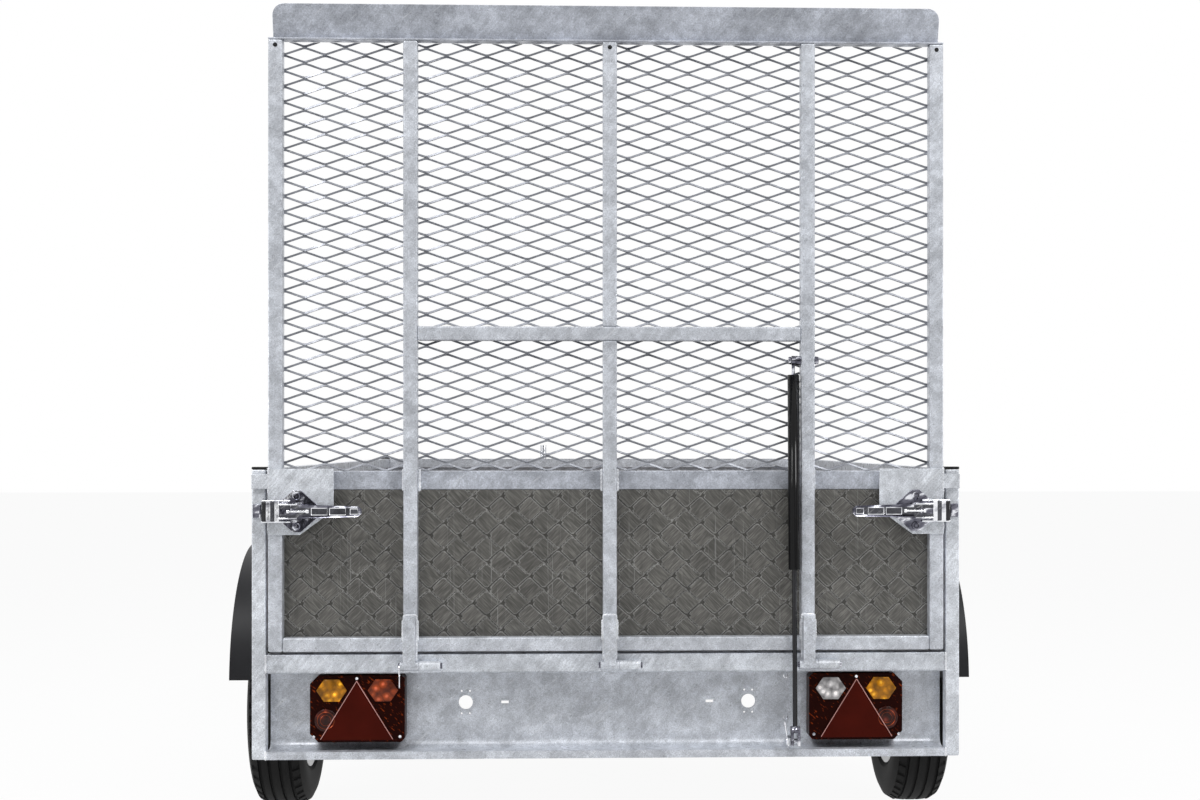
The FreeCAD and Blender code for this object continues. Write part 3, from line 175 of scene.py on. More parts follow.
def closed(thing):
    """Fills the open end of a shell and turns its faces out."""
    edit(thing)
    bpy.ops.mesh.select_all(action="DESELECT")
    bpy.ops.mesh.select_non_manifold()
    bpy.ops.mesh.edge_face_add()
    bpy.ops.mesh.select_all(action="SELECT")
    bpy.ops.mesh.normals_make_consistent(inside=False)
    done()
    return thing


def set_out(name, piece, spots):
    """Copies of one piece at several spots, joined under one name."""
    made = [copied(piece, spot) for spot in spots]
    bpy.data.objects.remove(piece)
    return merged(name, made)


def trimmed(thing, low, high):
    """Cuts a sheet of repeated pieces to a panel's border."""
    edit(thing)
    for spot, way in ((low, (-1, 0, 0)), (high, (1, 0, 0)), (low, (0, 0, -1)), (high, (0, 0, 1))):
        bpy.ops.mesh.select_all(action="SELECT")
        bpy.ops.mesh.bisect(plane_co=spot, plane_no=way, use_fill=True, clear_outer=True)
    done()
    return thing


def repeated(thing, columns, rows, across, up):
    """Copies of a cell in columns along X and rows along Z."""
    for count, way in ((columns, (across, 0, 0)), (rows, (0, 0, up))):
        modify(thing, "ARRAY", count=count, use_relative_offset=False,
               use_constant_offset=True, constant_offset_displace=way)
    return thing


def bar(middle, size, edge=0.0006):
    """A bar with eased edges."""
    deselect()
    bpy.ops.mesh.primitive_cube_add(size=1, location=middle)
    thing = bpy.context.object
    thing.scale = size
    settle(thing)
    return eased(thing, edge)


def turned(profile, middle, axis="X", sides=32):
    """A closed ring profile of (along, radius) pairs, extruded ring by ring."""
    turn = {"X": (0, math.pi / 2, 0), "Y": (-math.pi / 2, 0, 0), "Z": (0, 0, 0)}[axis]
    deselect()
    bpy.ops.mesh.primitive_circle_add(vertices=sides, radius=profile[0][1],
                                      location=(0, 0, profile[0][0]))
    thing = settle(bpy.context.object)
    edit(thing)
    along, radius = profile[0]
    for place, size in profile[1:]:
        bpy.ops.mesh.extrude_region_move(TRANSFORM_OT_translate={"value": (0, 0, place - along)})
        bpy.ops.transform.resize(value=(size / radius, size / radius, 1),
                                 center_override=(0, 0, place))
        along, radius = place, size
    bpy.ops.mesh.select_all(action="SELECT")
    if profile[0] == profile[-1]:
        bpy.ops.mesh.remove_doubles(threshold=SAME_POINT)
    else:
        bpy.ops.mesh.select_all(action="DESELECT")
        bpy.ops.mesh.select_non_manifold()
        bpy.ops.mesh.edge_face_add()
    bpy.ops.mesh.select_all(action="SELECT")
    bpy.ops.mesh.normals_make_consistent(inside=False)
    done()
    thing.rotation_euler = turn
    settle(thing)
    thing.location = middle
    return smooth(settle(thing))


# ---- materials ----------------------------------------------------------------------

class Finish:
    """A material whose pattern lies on Object coordinates."""

    def __init__(self, name, colour, roughness, metallic=0.0, **sockets):
        self.material = bpy.data.materials.new(name)
        self.material.use_nodes = True
        self.tree = self.material.node_tree
        self.shader = self.tree.nodes["Principled BSDF"]
        self.colour = (*colour, 1)
        self.shader.inputs["Base Color"].default_value = self.colour
        self.shader.inputs["Roughness"].default_value = roughness
        self.shader.inputs["Metallic"].default_value = metallic
        for key, setting in sockets.items():
            self.shader.inputs[key.replace("_", " ")].default_value = setting
        self.place = self.tree.nodes.new("ShaderNodeTexCoord").outputs["Object"]

    def link(self, a, b):
        self.tree.links.new(a, b)

    def stretched(self, sizes, turn=0.0):
        """Coordinates for marks of these sizes along a frame turned about Y."""
        mapping = self.tree.nodes.new("ShaderNodeMapping")
        mapping.vector_type = "TEXTURE"
        mapping.inputs["Scale"].default_value = sizes
        mapping.inputs["Rotation"].default_value = (0, math.radians(turn), 0)
        self.link(self.place, mapping.inputs["Vector"])
        return mapping.outputs["Vector"]

    def noise(self, scale, detail=4, vector=None):
        made = self.tree.nodes.new("ShaderNodeTexNoise")
        made.inputs["Scale"].default_value = scale
        made.inputs["Detail"].default_value = detail
        self.link(vector or self.place, made.inputs["Vector"])
        return made.outputs["Fac"]

    def cells(self, scale, kind="Color"):
        made = self.tree.nodes.new("ShaderNodeTexVoronoi")
        made.inputs["Scale"].default_value = scale
        self.link(self.place, made.inputs["Vector"])
        return made.outputs[kind]

    def ramp(self, factor, stops):
        made = self.tree.nodes.new("ShaderNodeValToRGB")
        elements = made.color_ramp.elements
        while len(elements) < len(stops):
            elements.new(0.5)
        for element, (place, shade) in zip(elements, stops):
            element.position = place
            element.color = (*shade, 1) if isinstance(shade, tuple) else (shade, shade, shade, 1)
        self.link(factor, made.inputs["Fac"])
        return made.outputs["Color"]

    def mixed(self, a, b, share, way="MULTIPLY"):
        made = self.tree.nodes.new("ShaderNodeMix")
        made.data_type, made.blend_type = "RGBA", way
        if isinstance(share, float):
            made.inputs["Factor"].default_value = share
        else:
            self.link(share, made.inputs["Factor"])
        for given, spot in ((a, made.inputs[6]), (b, made.inputs[7])):
            if isinstance(given, tuple):
                spot.default_value = given
            else:
                self.link(given, spot)
        return made.outputs[2]

    def bumpy(self, height, strength, distance=0.0005):
        made = self.tree.nodes.new("ShaderNodeBump")
        made.inputs["Strength"].default_value = strength
        made.inputs["Distance"].default_value = distance
        self.link(height, made.inputs["Height"])
        self.link(made.outputs["Normal"], self.shader.inputs["Normal"])


def zinc_coat(name, colour, roughness, metallic, spangle=0.6, streaks=0.35, cloudy=0.55):
    """Hot-dip zinc: fine crystals, cloudy patches, slanting runs and pale scuffs."""
    finish = Finish(name, colour, roughness, metallic)
    crystals = finish.ramp(finish.cells(260), ((0.0, 0.74), (1.0, 1.08)))
    speckle = finish.ramp(finish.noise(420, 3), ((0.35, 0.74), (0.65, 1.18)))
    flakes = finish.ramp(finish.noise(48, 9), ((0.40, 0.84), (0.62, 1.16)))
    clouds = finish.ramp(finish.noise(13, 7), ((0.38, 0.76), (0.62, 1.16)))
    shade = finish.mixed(finish.colour, crystals, spangle)
    shade = finish.mixed(shade, speckle, 0.8)
    shade = finish.mixed(shade, flakes, 0.75)
    shade = finish.mixed(shade, clouds, cloudy)
    runs = finish.ramp(finish.noise(1, 5, finish.stretched((0.075, 0.14, 0.006), -50)),
                       ((0.42, 0.80), (0.58, 1.10)))
    where = finish.ramp(finish.noise(3.5, 2), ((0.42, streaks * 0.2), (0.62, streaks)))
    shade = finish.mixed(shade, runs, where)
    scuffs = finish.ramp(finish.noise(1, 6, finish.stretched((0.06, 0.09, 0.0035), -38)),
                         ((0.62, 0.0), (0.70, 0.55)))
    shade = finish.mixed(shade, scuffs, 0.4, "SCREEN")
    finish.link(shade, finish.shader.inputs["Base Color"])
    rough = finish.ramp(finish.noise(42, 5),
                        ((0.3, roughness - 0.10), (0.7, roughness + 0.14)))
    finish.link(rough, finish.shader.inputs["Roughness"])
    finish.bumpy(finish.noise(110, 2), 0.25)
    return finish.material


def hatched(name, colour, turn):
    """Worn tread, scored along the bars of its group."""
    finish = Finish(name, colour, 0.42, 0.45)
    strokes = finish.ramp(finish.noise(1, 4, finish.stretched((0.024, 0.01, 0.0021), turn)),
                          ((0.36, 0.62), (0.52, 1.0), (0.66, 1.75)))
    clouds = finish.ramp(finish.noise(9, 6), ((0.34, 0.72), (0.66, 1.2)))
    shade = finish.mixed(finish.mixed(finish.colour, strokes, 0.85), clouds, 0.7)
    scratches = finish.ramp(finish.noise(1, 3, finish.stretched((0.0022, 0.01, 0.30))),
                            ((0.66, 0.0), (0.72, 0.35)))
    shade = finish.mixed(shade, scratches, 0.5, "SCREEN")
    finish.link(shade, finish.shader.inputs["Base Color"])
    finish.bumpy(strokes, 0.35, 0.0004)
    return finish.material


def moulded(name, colour, roughness, grain=400, depth=0.2):
    """Moulded plastic or rubber with a fine grain and a little dust."""
    finish = Finish(name, colour, roughness, 0.0, Specular_IOR_Level=0.18)
    dust = finish.ramp(finish.noise(9, 6), ((0.4, 0.85), (0.75, 1.25)))
    finish.link(finish.mixed(finish.colour, dust, 0.6), finish.shader.inputs["Base Color"])
    finish.bumpy(finish.noise(grain, 3), depth, 0.0003)
    return finish.material


def lens(name, colour, glow=0.0, hot=(2.2, 3.0, 7.0)):
    """Clear lens plastic with ribs, with painted hot spots of colour and a painted glow."""
    finish = Finish(name, colour, 0.1, 0.0, Coat_Weight=0.1, Specular_IOR_Level=0.2)
    # Painted highlights: spots brighter than white in the middle of each cell.
    painted_hot_spots = finish.ramp(finish.cells(62, "Distance"),
                         ((0.10, hot), (0.30, 0.9), (0.62, 0.3)))
    depth = finish.ramp(finish.noise(60, 3), ((0.36, 0.45), (0.62, 1.25)))
    shade = finish.mixed(finish.mixed(finish.colour, painted_hot_spots, 0.9), depth, 0.8)
    finish.link(shade, finish.shader.inputs["Base Color"])
    # Painted glow: the lens gives off light though it is no lit lamp.
    if glow:
        finish.link(shade, finish.shader.inputs["Emission Color"])
        finish.shader.inputs["Emission Strength"].default_value = glow
    finish.bumpy(finish.noise(260, 1), 0.6, 0.001)
    return finish.material


def plain_gloss(name, colour, glints=0.0):
    """Smooth plastic, with painted orange glints that stand for light coming back from inside."""
    finish = Finish(name, colour, 0.3, 0.0, Specular_IOR_Level=0.04)
    depth = finish.ramp(finish.noise(18, 3), ((0.35, 0.75), (0.7, 1.15)))
    shade = finish.mixed(finish.colour, depth, 0.6)
    if glints:
        # Painted glints: orange streaks added to the colour for light coming back from inside.
        painted_glints = finish.ramp(finish.noise(1, 4, finish.stretched((0.011, 0.01, 0.0035), 40)),
                             ((0.60, 0.0), (0.72, (0.55, 0.085, 0.012))))
        shade = finish.mixed(shade, painted_glints, glints, "ADD")
    finish.link(shade, finish.shader.inputs["Base Color"])
    finish.bumpy(finish.noise(700, 1), 0.1, 0.0002)
    return finish.material


def painted(name, colour, roughness, metallic=0.0, sheen=0.5):
    """Paint or dark steel, a little uneven in shade."""
    finish = Finish(name, colour, roughness, metallic, Specular_IOR_Level=sheen)
    patches = finish.ramp(finish.noise(22, 5), ((0.3, 0.8), (0.7, 1.1)))
    finish.link(finish.mixed(finish.colour, patches, 0.5), finish.shader.inputs["Base Color"])
    finish.bumpy(finish.noise(500, 2), 0.08, 0.0002)
    return finish.material


def chromed(name, low, middle, high, share=0.58):
    """Plating with painted reflections in soft waves: dark streaks, and bright ones past the given
    share.
    """
    finish = Finish(name, middle, 0.12, 1.0)
    # Painted reflections: dark and bright streaks of colour standing for what the plating mirrors.
    painted_reflection_bands = finish.ramp(finish.noise(1, 3, finish.stretched((0.03, 0.02, 0.012), -20)),
                        ((share - 0.20, low), (share - 0.04, middle), (share + 0.04, high)))
    finish.link(painted_reflection_bands, finish.shader.inputs["Base Color"])
    finish.bumpy(finish.noise(60, 2), 0.3, 0.001)
    return finish.material


def board_face(name, colour):
    """Film-faced board with a grain along the body."""
    finish = Finish(name, colour, 0.5)
    grain = finish.ramp(finish.noise(1, 8, finish.stretched((0.008, 0.15, 0.008))),
                        ((0.35, 0.7), (0.65, 1.1)))
    finish.link(finish.mixed(finish.colour, grain, 0.8), finish.shader.inputs["Base Color"])
    finish.bumpy(finish.noise(300, 2), 0.25, 0.0004)
    return finish.material


MATERIALS = {
    "galvanised": zinc_coat("galvanised", (0.635, 0.662, 0.715), 0.33, 0.3),
    "mesh_steel": zinc_coat("mesh_steel", (0.26, 0.27, 0.30), 0.4, 0.6, 0.2),
    "tread_plate": zinc_coat("tread_plate", (0.065, 0.063, 0.057), 0.4, 0.45, 0.15),
    # Painted reflections, in dark and bright streaks.
    "bright_zinc": chromed("bright_zinc", (0.07, 0.07, 0.09), (0.19, 0.19, 0.23),
                           (0.80, 0.81, 0.86)),
    "strut_steel": painted("strut_steel", (0.045, 0.045, 0.048), 0.16, 0.95),
    "black_enamel": painted("black_enamel", (0.003, 0.003, 0.0035), 0.10, 0.0, 0.20),
    "rim_silver": painted("rim_silver", (0.5, 0.51, 0.52), 0.32, 0.6),
    "black_plastic": moulded("black_plastic", (0.015, 0.015, 0.015), 0.5),
    "mudguard_plastic": moulded("mudguard_plastic", (0.018, 0.018, 0.020), 0.42),
    "tyre_rubber": moulded("tyre_rubber", (0.0105, 0.0105, 0.0105), 0.72, 250, 0.35),
    "solid_rubber": moulded("solid_rubber", (0.025, 0.025, 0.025), 0.7, 250, 0.3),
    "floor_board": board_face("floor_board", (0.09, 0.055, 0.033)),
    "lamp_red": plain_gloss("lamp_red", (0.016, 0.0016, 0.0007), 0.5),
    "reflector": plain_gloss("reflector", (0.060, 0.0055, 0.0026)),
    "amber_lens": lens("amber_lens", (0.62, 0.24, 0.006), 0.3),
    "red_lens": lens("red_lens", (0.36, 0.055, 0.010), 0.22),
    "clear_lens": lens("clear_lens", (0.62, 0.60, 0.60), 0.3, hot=(2.0, 1.95, 1.9)),
}
SLOTS = {entry["node"]: entry["material_slot"] for entry in frame["record"]["subparts"]}

RISING_TREAD = hatched("rising_tread", (0.120, 0.116, 0.107), -45)
FALLING_TREAD = hatched("falling_tread", (0.112, 0.109, 0.100), 45)
# Lighter tread for the diamonds' raised borders: worn metal, and a painted highlight where they
# catch the light.
WORN_AND_HIGHLIT_TREAD = zinc_coat("tread_wear_and_highlight", (0.25, 0.247, 0.237), 0.28, 0.6, 0.1)
GREY_ZINC = zinc_coat("grey_zinc", (0.50, 0.525, 0.585), 0.33, 0.3, cloudy=0.85)
JACK_ZINC = zinc_coat("jack_zinc", (0.60, 0.61, 0.64), 0.24, 0.8, 0.2, cloudy=0.4)
WELD_ZINC = zinc_coat("weld_zinc", (0.86, 0.88, 0.92), 0.4, 0.35, 0.3)
PALE_ZINC = zinc_coat("pale_zinc", (0.74, 0.77, 0.82), 0.33, 0.3, 0.5, 0.9)
BEAM_ZINC = zinc_coat("beam_zinc", (0.66, 0.69, 0.74), 0.33, 0.3, 0.5, 0.6)
# Painted shade: dark zinc for pieces set in the levers' pockets, beside the knuckles and between
# the hook plates.
PAINTED_SHADE_ZINC = zinc_coat("painted_shade_zinc", (0.085, 0.087, 0.10), 0.25, 0.6, 0.2)
# Painted reflections, in dark and bright streaks.
POLISHED = chromed("polished_zinc", (0.32, 0.32, 0.36), (0.72, 0.73, 0.77),
                   (0.92, 0.93, 0.96), 0.46)
DIM_LENS = lens("dim_lens", (0.075, 0.008, 0.002), 0.05)
# Painted highlight: pale pink for the lines along the reflector triangles' edges.
EDGE_HIGHLIGHT_PINK = plain_gloss("triangle_edge_highlight", (0.62, 0.33, 0.30))


def finished(thing, slot, body, material=None):
    """Gives a piece its material, that of its record slot unless another finish is given, and its
    body.
    """
    thing.data.materials.clear()
    thing.data.materials.append(material or MATERIALS[slot])
    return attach(thing, body)


# Nodes whose coat differs from the plain one of their slot.
SPECIAL = {"corner_posts": PALE_ZINC, "corner_plates": PALE_ZINC, "hinge_sleeves": PALE_ZINC,
           "rear_beam": BEAM_ZINC, "toe_plate": GREY_ZINC, "ramp_rail": GREY_ZINC,
           **{name: JACK_ZINC for name in ("jack_tube", "jack_inner_tube", "jack_crank",
                                           "jack_fork", "jack_clamp")}}

for name, thing in nodes.items():
    thing.data.materials.clear()
    thing.data.materials.append(SPECIAL.get(name, MATERIALS[SLOTS[name]]))


# ---- copies of the frame's nodes ------------------------------------------------------

def cad_copy(node, name, flat=True):
    """A merged copy of a CAD node that may be reshaped, with its own mesh."""
    thing = nodes[node].copy()
    thing.data = nodes[node].data.copy()
    bpy.context.collection.objects.link(thing)
    thing.hide_viewport = thing.hide_render = False
    thing.hide_set(False)
    thing.name = thing.data.name = name
    thing.parent = None
    for key in [k for k in thing.keys() if k.startswith("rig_")]:
        del thing[key]
    edit(thing)
    bpy.ops.mesh.remove_doubles(threshold=SAME_POINT)
    if flat:
        bpy.ops.mesh.dissolve_limited(angle_limit=math.radians(1))
    done()
    return thing


# ---- eased tubes and plates ---------------------------------------------------------

# Width of the rounded edges, and the nodes that have it.
ROUNDED = {
    0.0038: ("ramp_side_tubes", "ramp_cross_tubes", "ramp_bars", "corner_posts",
             "left_drawbar", "right_drawbar", "nose_tube", "rear_beam"),
    0.0018: ("hinge_arms", "ramp_rail", "side_beams", "axle_beam",
             "coupling_head", "coupling_lever", "suspension_arms", "cross_members"),
    0.0012: ("latch_bases", "latch_keepers", "lamp_housings", "jack_fork",
             "strut_stud", "strut_bracket", "toe_plate", "mudguard_stays", "post_caps"),
    0.0007: ("corner_plates", "lamp_reflectors", "side_uprights", "hinge_sleeves"),
}


def rounded_copies():
    """Tubes, castings and plates with the rounded edges that they have in steel."""
    for width, names in ROUNDED.items():
        for name in names:
            thing = smooth(eased(cad_copy(name, name + "_rounded"), width, 3), 40)
            modify(thing, "WEIGHTED_NORMAL", keep_sharp=True)
            finished(thing, SLOTS[name], nodes[name]["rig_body"], SPECIAL.get(name))
            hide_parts(name)


# ---- expanded mesh ------------------------------------------------------------------

MESH_PITCH = (0.0857, 0.0333)
STRAND = (0.0021, 0.0045)       # thickness and width of one strand
BOND = 0.0019                   # half the distance between two strands where they meet
# How far a strand has climbed at each share of its length.
CLIMB = ((0.10, 0.05), (0.30, 0.27), (0.70, 0.73), (0.90, 0.95), (1.0, 1.0))


def strand(start, rise, lean):
    """One strand between two bonds, easing in and out of its climb and leaning out of
    the sheet."""
    half = MESH_PITCH[0] / 2
    deselect()
    bpy.ops.mesh.primitive_plane_add(size=1, rotation=(0, math.pi / 2, 0))
    thing = settle(bpy.context.object)
    thing.scale = (1, *STRAND)
    settle(thing)
    thing.rotation_euler = (math.radians(lean), 0, 0)
    settle(thing)
    thing.location = (0, 0, start)
    settle(thing)
    edit(thing)
    place = height = 0
    for share, climbed in CLIMB:
        lift = rise * climbed
        bpy.ops.mesh.extrude_region_move(
            TRANSFORM_OT_translate={"value": (half * share - place, 0, lift - height)})
        place, height = half * share, lift
    done()
    return closed(thing)


def expanded_mesh():
    """Slit and stretched strands, twisted out of the sheet's plane and thick at their bonds."""
    low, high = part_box("mesh_panel")
    long, short = MESH_PITCH
    rise = short / 2 - 2 * BOND
    strands = [strand(BOND, rise, 20), strand(-BOND, -rise, -32)]
    for given in strands[:2]:
        twin = copied(given, (0, 0, 0))
        twin.rotation_euler = (0, math.pi, 0)
        strands.append(settle(twin))
    columns, rows = int((high.x - low.x) / long), int((high.z - low.z) / short)
    knit = repeated(merged("mesh_strands", strands), columns + 3, rows + 3, long, short)
    knit.location = (-(columns + 2) * long / 2, (low.y + high.y) / 2, low.z - short / 2)
    finished(trimmed(settle(knit), low, high), "mesh_steel", "ramp")
    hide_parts("mesh_panel")


# ---- tread plate --------------------------------------------------------------------

TREAD_HALF = (0.0304, 0.0285)   # half of one diamond's width and height


def tread_diamond():
    """One group of five bars: plain above, toothed by the bars' ends below, its right
    corner hooked into the next group."""
    across, up = TREAD_HALF
    deselect()
    bpy.ops.mesh.primitive_plane_add(size=math.sqrt(2), rotation=(math.pi / 2, 0, 0))
    thing = settle(bpy.context.object)
    thing.rotation_euler = (0, math.pi / 4, 0)
    settle(thing)
    thing.scale = (across, 1, up)
    settle(thing)
    edit(thing)
    bpy.ops.mesh.subdivide(number_cuts=9)
    bpy.ops.mesh.dissolve_faces()
    done()
    move_points(thing, lambda c: c.z < -0.001 and round((1 - abs(c.x) / across) * 10) % 2,
                spread=1.06)
    move_points(thing, lambda c: c.x > across * 0.85, (0.0042, 0, -0.0018))
    move_points(thing, lambda c: c.x < across * -0.85, (0.0035, 0, 0))
    move_points(thing, lambda c: c.x < across * -0.87, (0.0055, 0, -0.001))
    move_points(thing, lambda c: c.z > up * 0.97, (0, 0, -0.0028))
    move_points(thing, lambda c: c.z < up * -0.97, (0, 0, 0.003))
    move_points(thing, lambda c: True, spread=0.965)
    edit(thing)
    bpy.ops.mesh.extrude_region_move(TRANSFORM_OT_translate={"value": (0, -0.0011, 0)})
    bpy.ops.transform.resize(value=(0.955, 1, 0.955), center_override=(0, 0, 0))
    done()
    return closed(thing)


def tread_bars():
    """Raised diamonds with borders made lighter, for wear and as a painted highlight, their bars
    square to their neighbours'.
    """
    low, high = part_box("tread_plate")
    across, up = TREAD_HALF
    columns, rows = (int((high.x - low.x) / across / 2) + 3,
                     int((high.z - low.z) / up / 2) + 3)
    for way, hatch, word in ((1, RISING_TREAD, "rising"), (-1, FALLING_TREAD, "falling")):
        border = tread_diamond()
        pad = copied(border, (0, -0.0003, 0))
        move_points(pad, lambda c: True, spread=0.915)
        for thing, ending, finish in ((border, "_borders", WORN_AND_HIGHLIT_TREAD), (pad, "_pads", hatch)):
            thing.scale.z = way
            settle(thing)
            edit(thing)
            bpy.ops.mesh.normals_make_consistent(inside=False)
            done()
            repeated(thing, columns, rows, 2 * across, 2 * up)
            thing.location = (low.x - (way < 0) * across, low.y, low.z - (way < 0) * up)
            thing.name = thing.data.name = "tread_" + word + ending
            finished(trimmed(settle(thing), low, high), "tread_plate", "ramp", finish)


# ---- wheels -------------------------------------------------------------------------

GROOVES = (-0.040, -0.014, 0.014, 0.040)    # places of the tread's grooves
TYRE_STEPS = 96                             # steps round a tyre
OUTER_RIB = 0.046                           # where the ribs with slits begin


def road_tyre(side):
    """A tyre with four grooves round it and slits across its outer ribs."""
    half, radius = TYRE_HALF, TYRE_RADIUS
    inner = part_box(side + "_rim")[1].z - WHEEL[side].z
    crown = [(-half * 0.86, radius - 0.014)]
    groove, depth = 0.0045, 0.007
    for place in GROOVES:
        drop = radius - 0.0015 - (place / half) ** 2 * 0.006
        crown += [(place - groove, drop), (place - groove + 0.001, drop - depth),
                  (place + groove - 0.001, drop - depth), (place + groove, drop)]
    crown.append((half * 0.86, radius - 0.014))
    wall = [(-half * 0.72, inner - 0.004), (-half * 0.92, inner + 0.012),
            (-half, radius - 0.058), (-half * 0.97, radius - 0.030)]
    profile = wall + crown + [(-x, r) for x, r in reversed(wall)]
    profile.append(profile[0])
    tyre = turned(profile, (0, 0, 0), "X", TYRE_STEPS)
    choose_faces(tyre, lambda c, n: math.hypot(c.y, c.z) > radius - 0.013
                 and OUTER_RIB < abs(c.x) and abs(n.x) < 0.6
                 and int(math.atan2(c.z, c.y) / math.tau * TYRE_STEPS + TYRE_STEPS) % 2 == 0)
    bpy.ops.mesh.inset(thickness=0.003, depth=-0.004)
    done()
    tyre.location = WHEEL[side]
    settle(tyre)
    tyre.name = side + "_road_tyre"
    finished(smooth(tyre, 30), "tyre_rubber", side + "_wheel")
    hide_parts(side + "_tyre")


def round_the_hub(side, count, circle, sunk, turn=0.0):
    """Places evenly round a wheel's middle, sunk below its rim's outer face."""
    way = -1 if side == "left" else 1
    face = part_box(side + "_rim")[1 if way > 0 else 0].x
    spots = [WHEEL[side] + Vector((0, math.cos(angle), math.sin(angle))) * circle
             for angle in (step * math.tau / count + turn for step in range(count))]
    for spot in spots:
        spot.x = face - way * sunk
    return spots


def wheel_nuts(side):
    """Five nuts on the outer face of the rim."""
    nut = turned([(-0.0075, 0.0085), (-0.0055, 0.0105), (0.0055, 0.0105), (0.0075, 0.0085)],
                 (0, 0, 0), "X", 6)
    spots = round_the_hub(side, 5, 0.049, 0.0065, 0.3)
    finished(set_out(side + "_wheel_nuts", nut, spots), "bright_zinc", side + "_wheel")


def rim_holes(side):
    """Raised rings round the ventilation holes of a rim."""
    ring = turned([(-0.003, 0.0135), (0.002, 0.0125), (0.002, 0.0105), (-0.003, 0.0095)],
                  (0, 0, 0), "X", 20)
    spots = round_the_hub(side, 8, 0.105, 0.020)
    finished(set_out(side + "_rim_holes", ring, spots), "black_enamel", side + "_wheel")


# ---- small fittings -----------------------------------------------------------------

def screw(radius):
    """A screw head at the origin: a raised rim, a groove and a low middle, facing back."""
    tall = radius * 0.5
    profile = [(-tall * 0.72, radius * 0.30), (-tall * 0.35, radius * 0.42),
               (-tall * 0.35, radius * 0.56), (-tall, radius * 0.68),
               (-tall * 0.85, radius * 0.88), (0, radius), (0.001, radius)]
    return turned(profile, (0, 0, 0), "Y", 20)


def weld_ripple():
    """One ripple of a bead: a low dome, drawn out to one side."""
    deselect()
    bpy.ops.mesh.primitive_uv_sphere_add(segments=10, ring_count=6, radius=1)
    thing = bpy.context.object
    move_points(thing, lambda c: c.z > 0.3, (0, 0, 0.12))
    move_points(thing, lambda c: c.y < -0.8, (0, 0.12, 0))
    return thing


def weld_bead(start, stop, radius=0.0032):
    """Overlapping ripples from one point to another."""
    start, stop = Vector(start), Vector(stop)
    count = max(3, int((stop - start).length / (radius * 1.1)))
    made = []
    for step in range(count + 1):
        ripple = RIPPLE.copy()
        ripple.data = RIPPLE.data.copy()
        bpy.context.collection.objects.link(ripple)
        size = radius * (1 if step % 2 else 0.88)
        ripple.scale = (size, size * 0.7, size)
        ripple.location = start.lerp(stop, step / count)
        made.append(settle(ripple))
    return smooth(merged("bead", made))


def upright_bead(x, y, low, high, radius):
    return weld_bead((x, y, low), (x, y, high), radius)


def ramp_welds():
    """Beads where bars meet the cross tubes, the rail, the plates and the hinge arms."""
    arms, cross, rail, plates = (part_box(name) for name in (
        "hinge_arms", "ramp_cross_tubes", "ramp_rail", "corner_plates"))
    foot, plate_edge = cross[0].z + 0.03, 0.7135
    # Each bead's distance from its bar's middle, its place forward of the ramp's back,
    # its two ends and its radius.
    seams = ((0.0155, -0.0004, foot - 0.004, foot + 0.034, 0.0032),
             (0.0165, 0.0296, rail[0].z, rail[1].z, 0.004),
             (0.0135, -0.002, arms[0].z + 0.02, arms[1].z, 0.0026))
    beads = []
    for middle in BAR_PLACES:
        for way in (-1, 1):
            for aside, forward, low, high, radius in seams:
                beads.append(upright_bead(middle + way * aside, RAMP_BACK + forward,
                                          low, high, radius))
        beads.append(weld_bead((middle - 0.011, RAMP_BACK - 0.001, arms[1].z + 0.001),
                               (middle + 0.011, RAMP_BACK - 0.001, arms[1].z + 0.001)))
    for way in (-1, 1):
        for low, high in ((plates[0].z + 0.01, plates[0].z + 0.05),
                          (plates[1].z - 0.05, plates[1].z)):
            beads.append(upright_bead(way * plate_edge, RAMP_BACK - 0.0016, low, high, 0.0028))
    finished(merged("ramp_welds", beads), "galvanised", "ramp", WELD_ZINC)


def frame_welds():
    """Beads where the rear beam and the light board meet the posts."""
    beam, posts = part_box("rear_beam"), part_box("corner_posts")
    face, radius, seam = posts[0].y - 0.0006, 0.003, 0.7205
    beads = []
    for way in (-1, 1):
        for low, high in ((beam[0].z + 0.003, beam[1].z - 0.003),
                          (posts[0].z + 0.002, posts[0].z + 0.016)):
            beads.append(upright_bead(way * seam, face, low, high, radius))
    finished(merged("frame_welds", beads), "galvanised", "chassis", WELD_ZINC)


def vent_holes():
    """Drain holes near the tops of the outer tubes and the middle bar, drawn as black discs whose
    black is painted shade.
    """
    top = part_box("ramp_side_tubes")[1].z
    # Painted shade: a black disc where each hole's dark inside would be.
    ring = turned([(-0.0005, 0.0046), (-0.0005, 0.0036), (0.0004, 0.0034)], (0, 0, 0), "Y", 24)
    spots = [(x, RAMP_BACK, top - 0.012) for x in (-0.700, BAR_PLACES[1], 0.700)]
    finished(set_out("vent_holes", ring, spots), "black_plastic", "ramp")


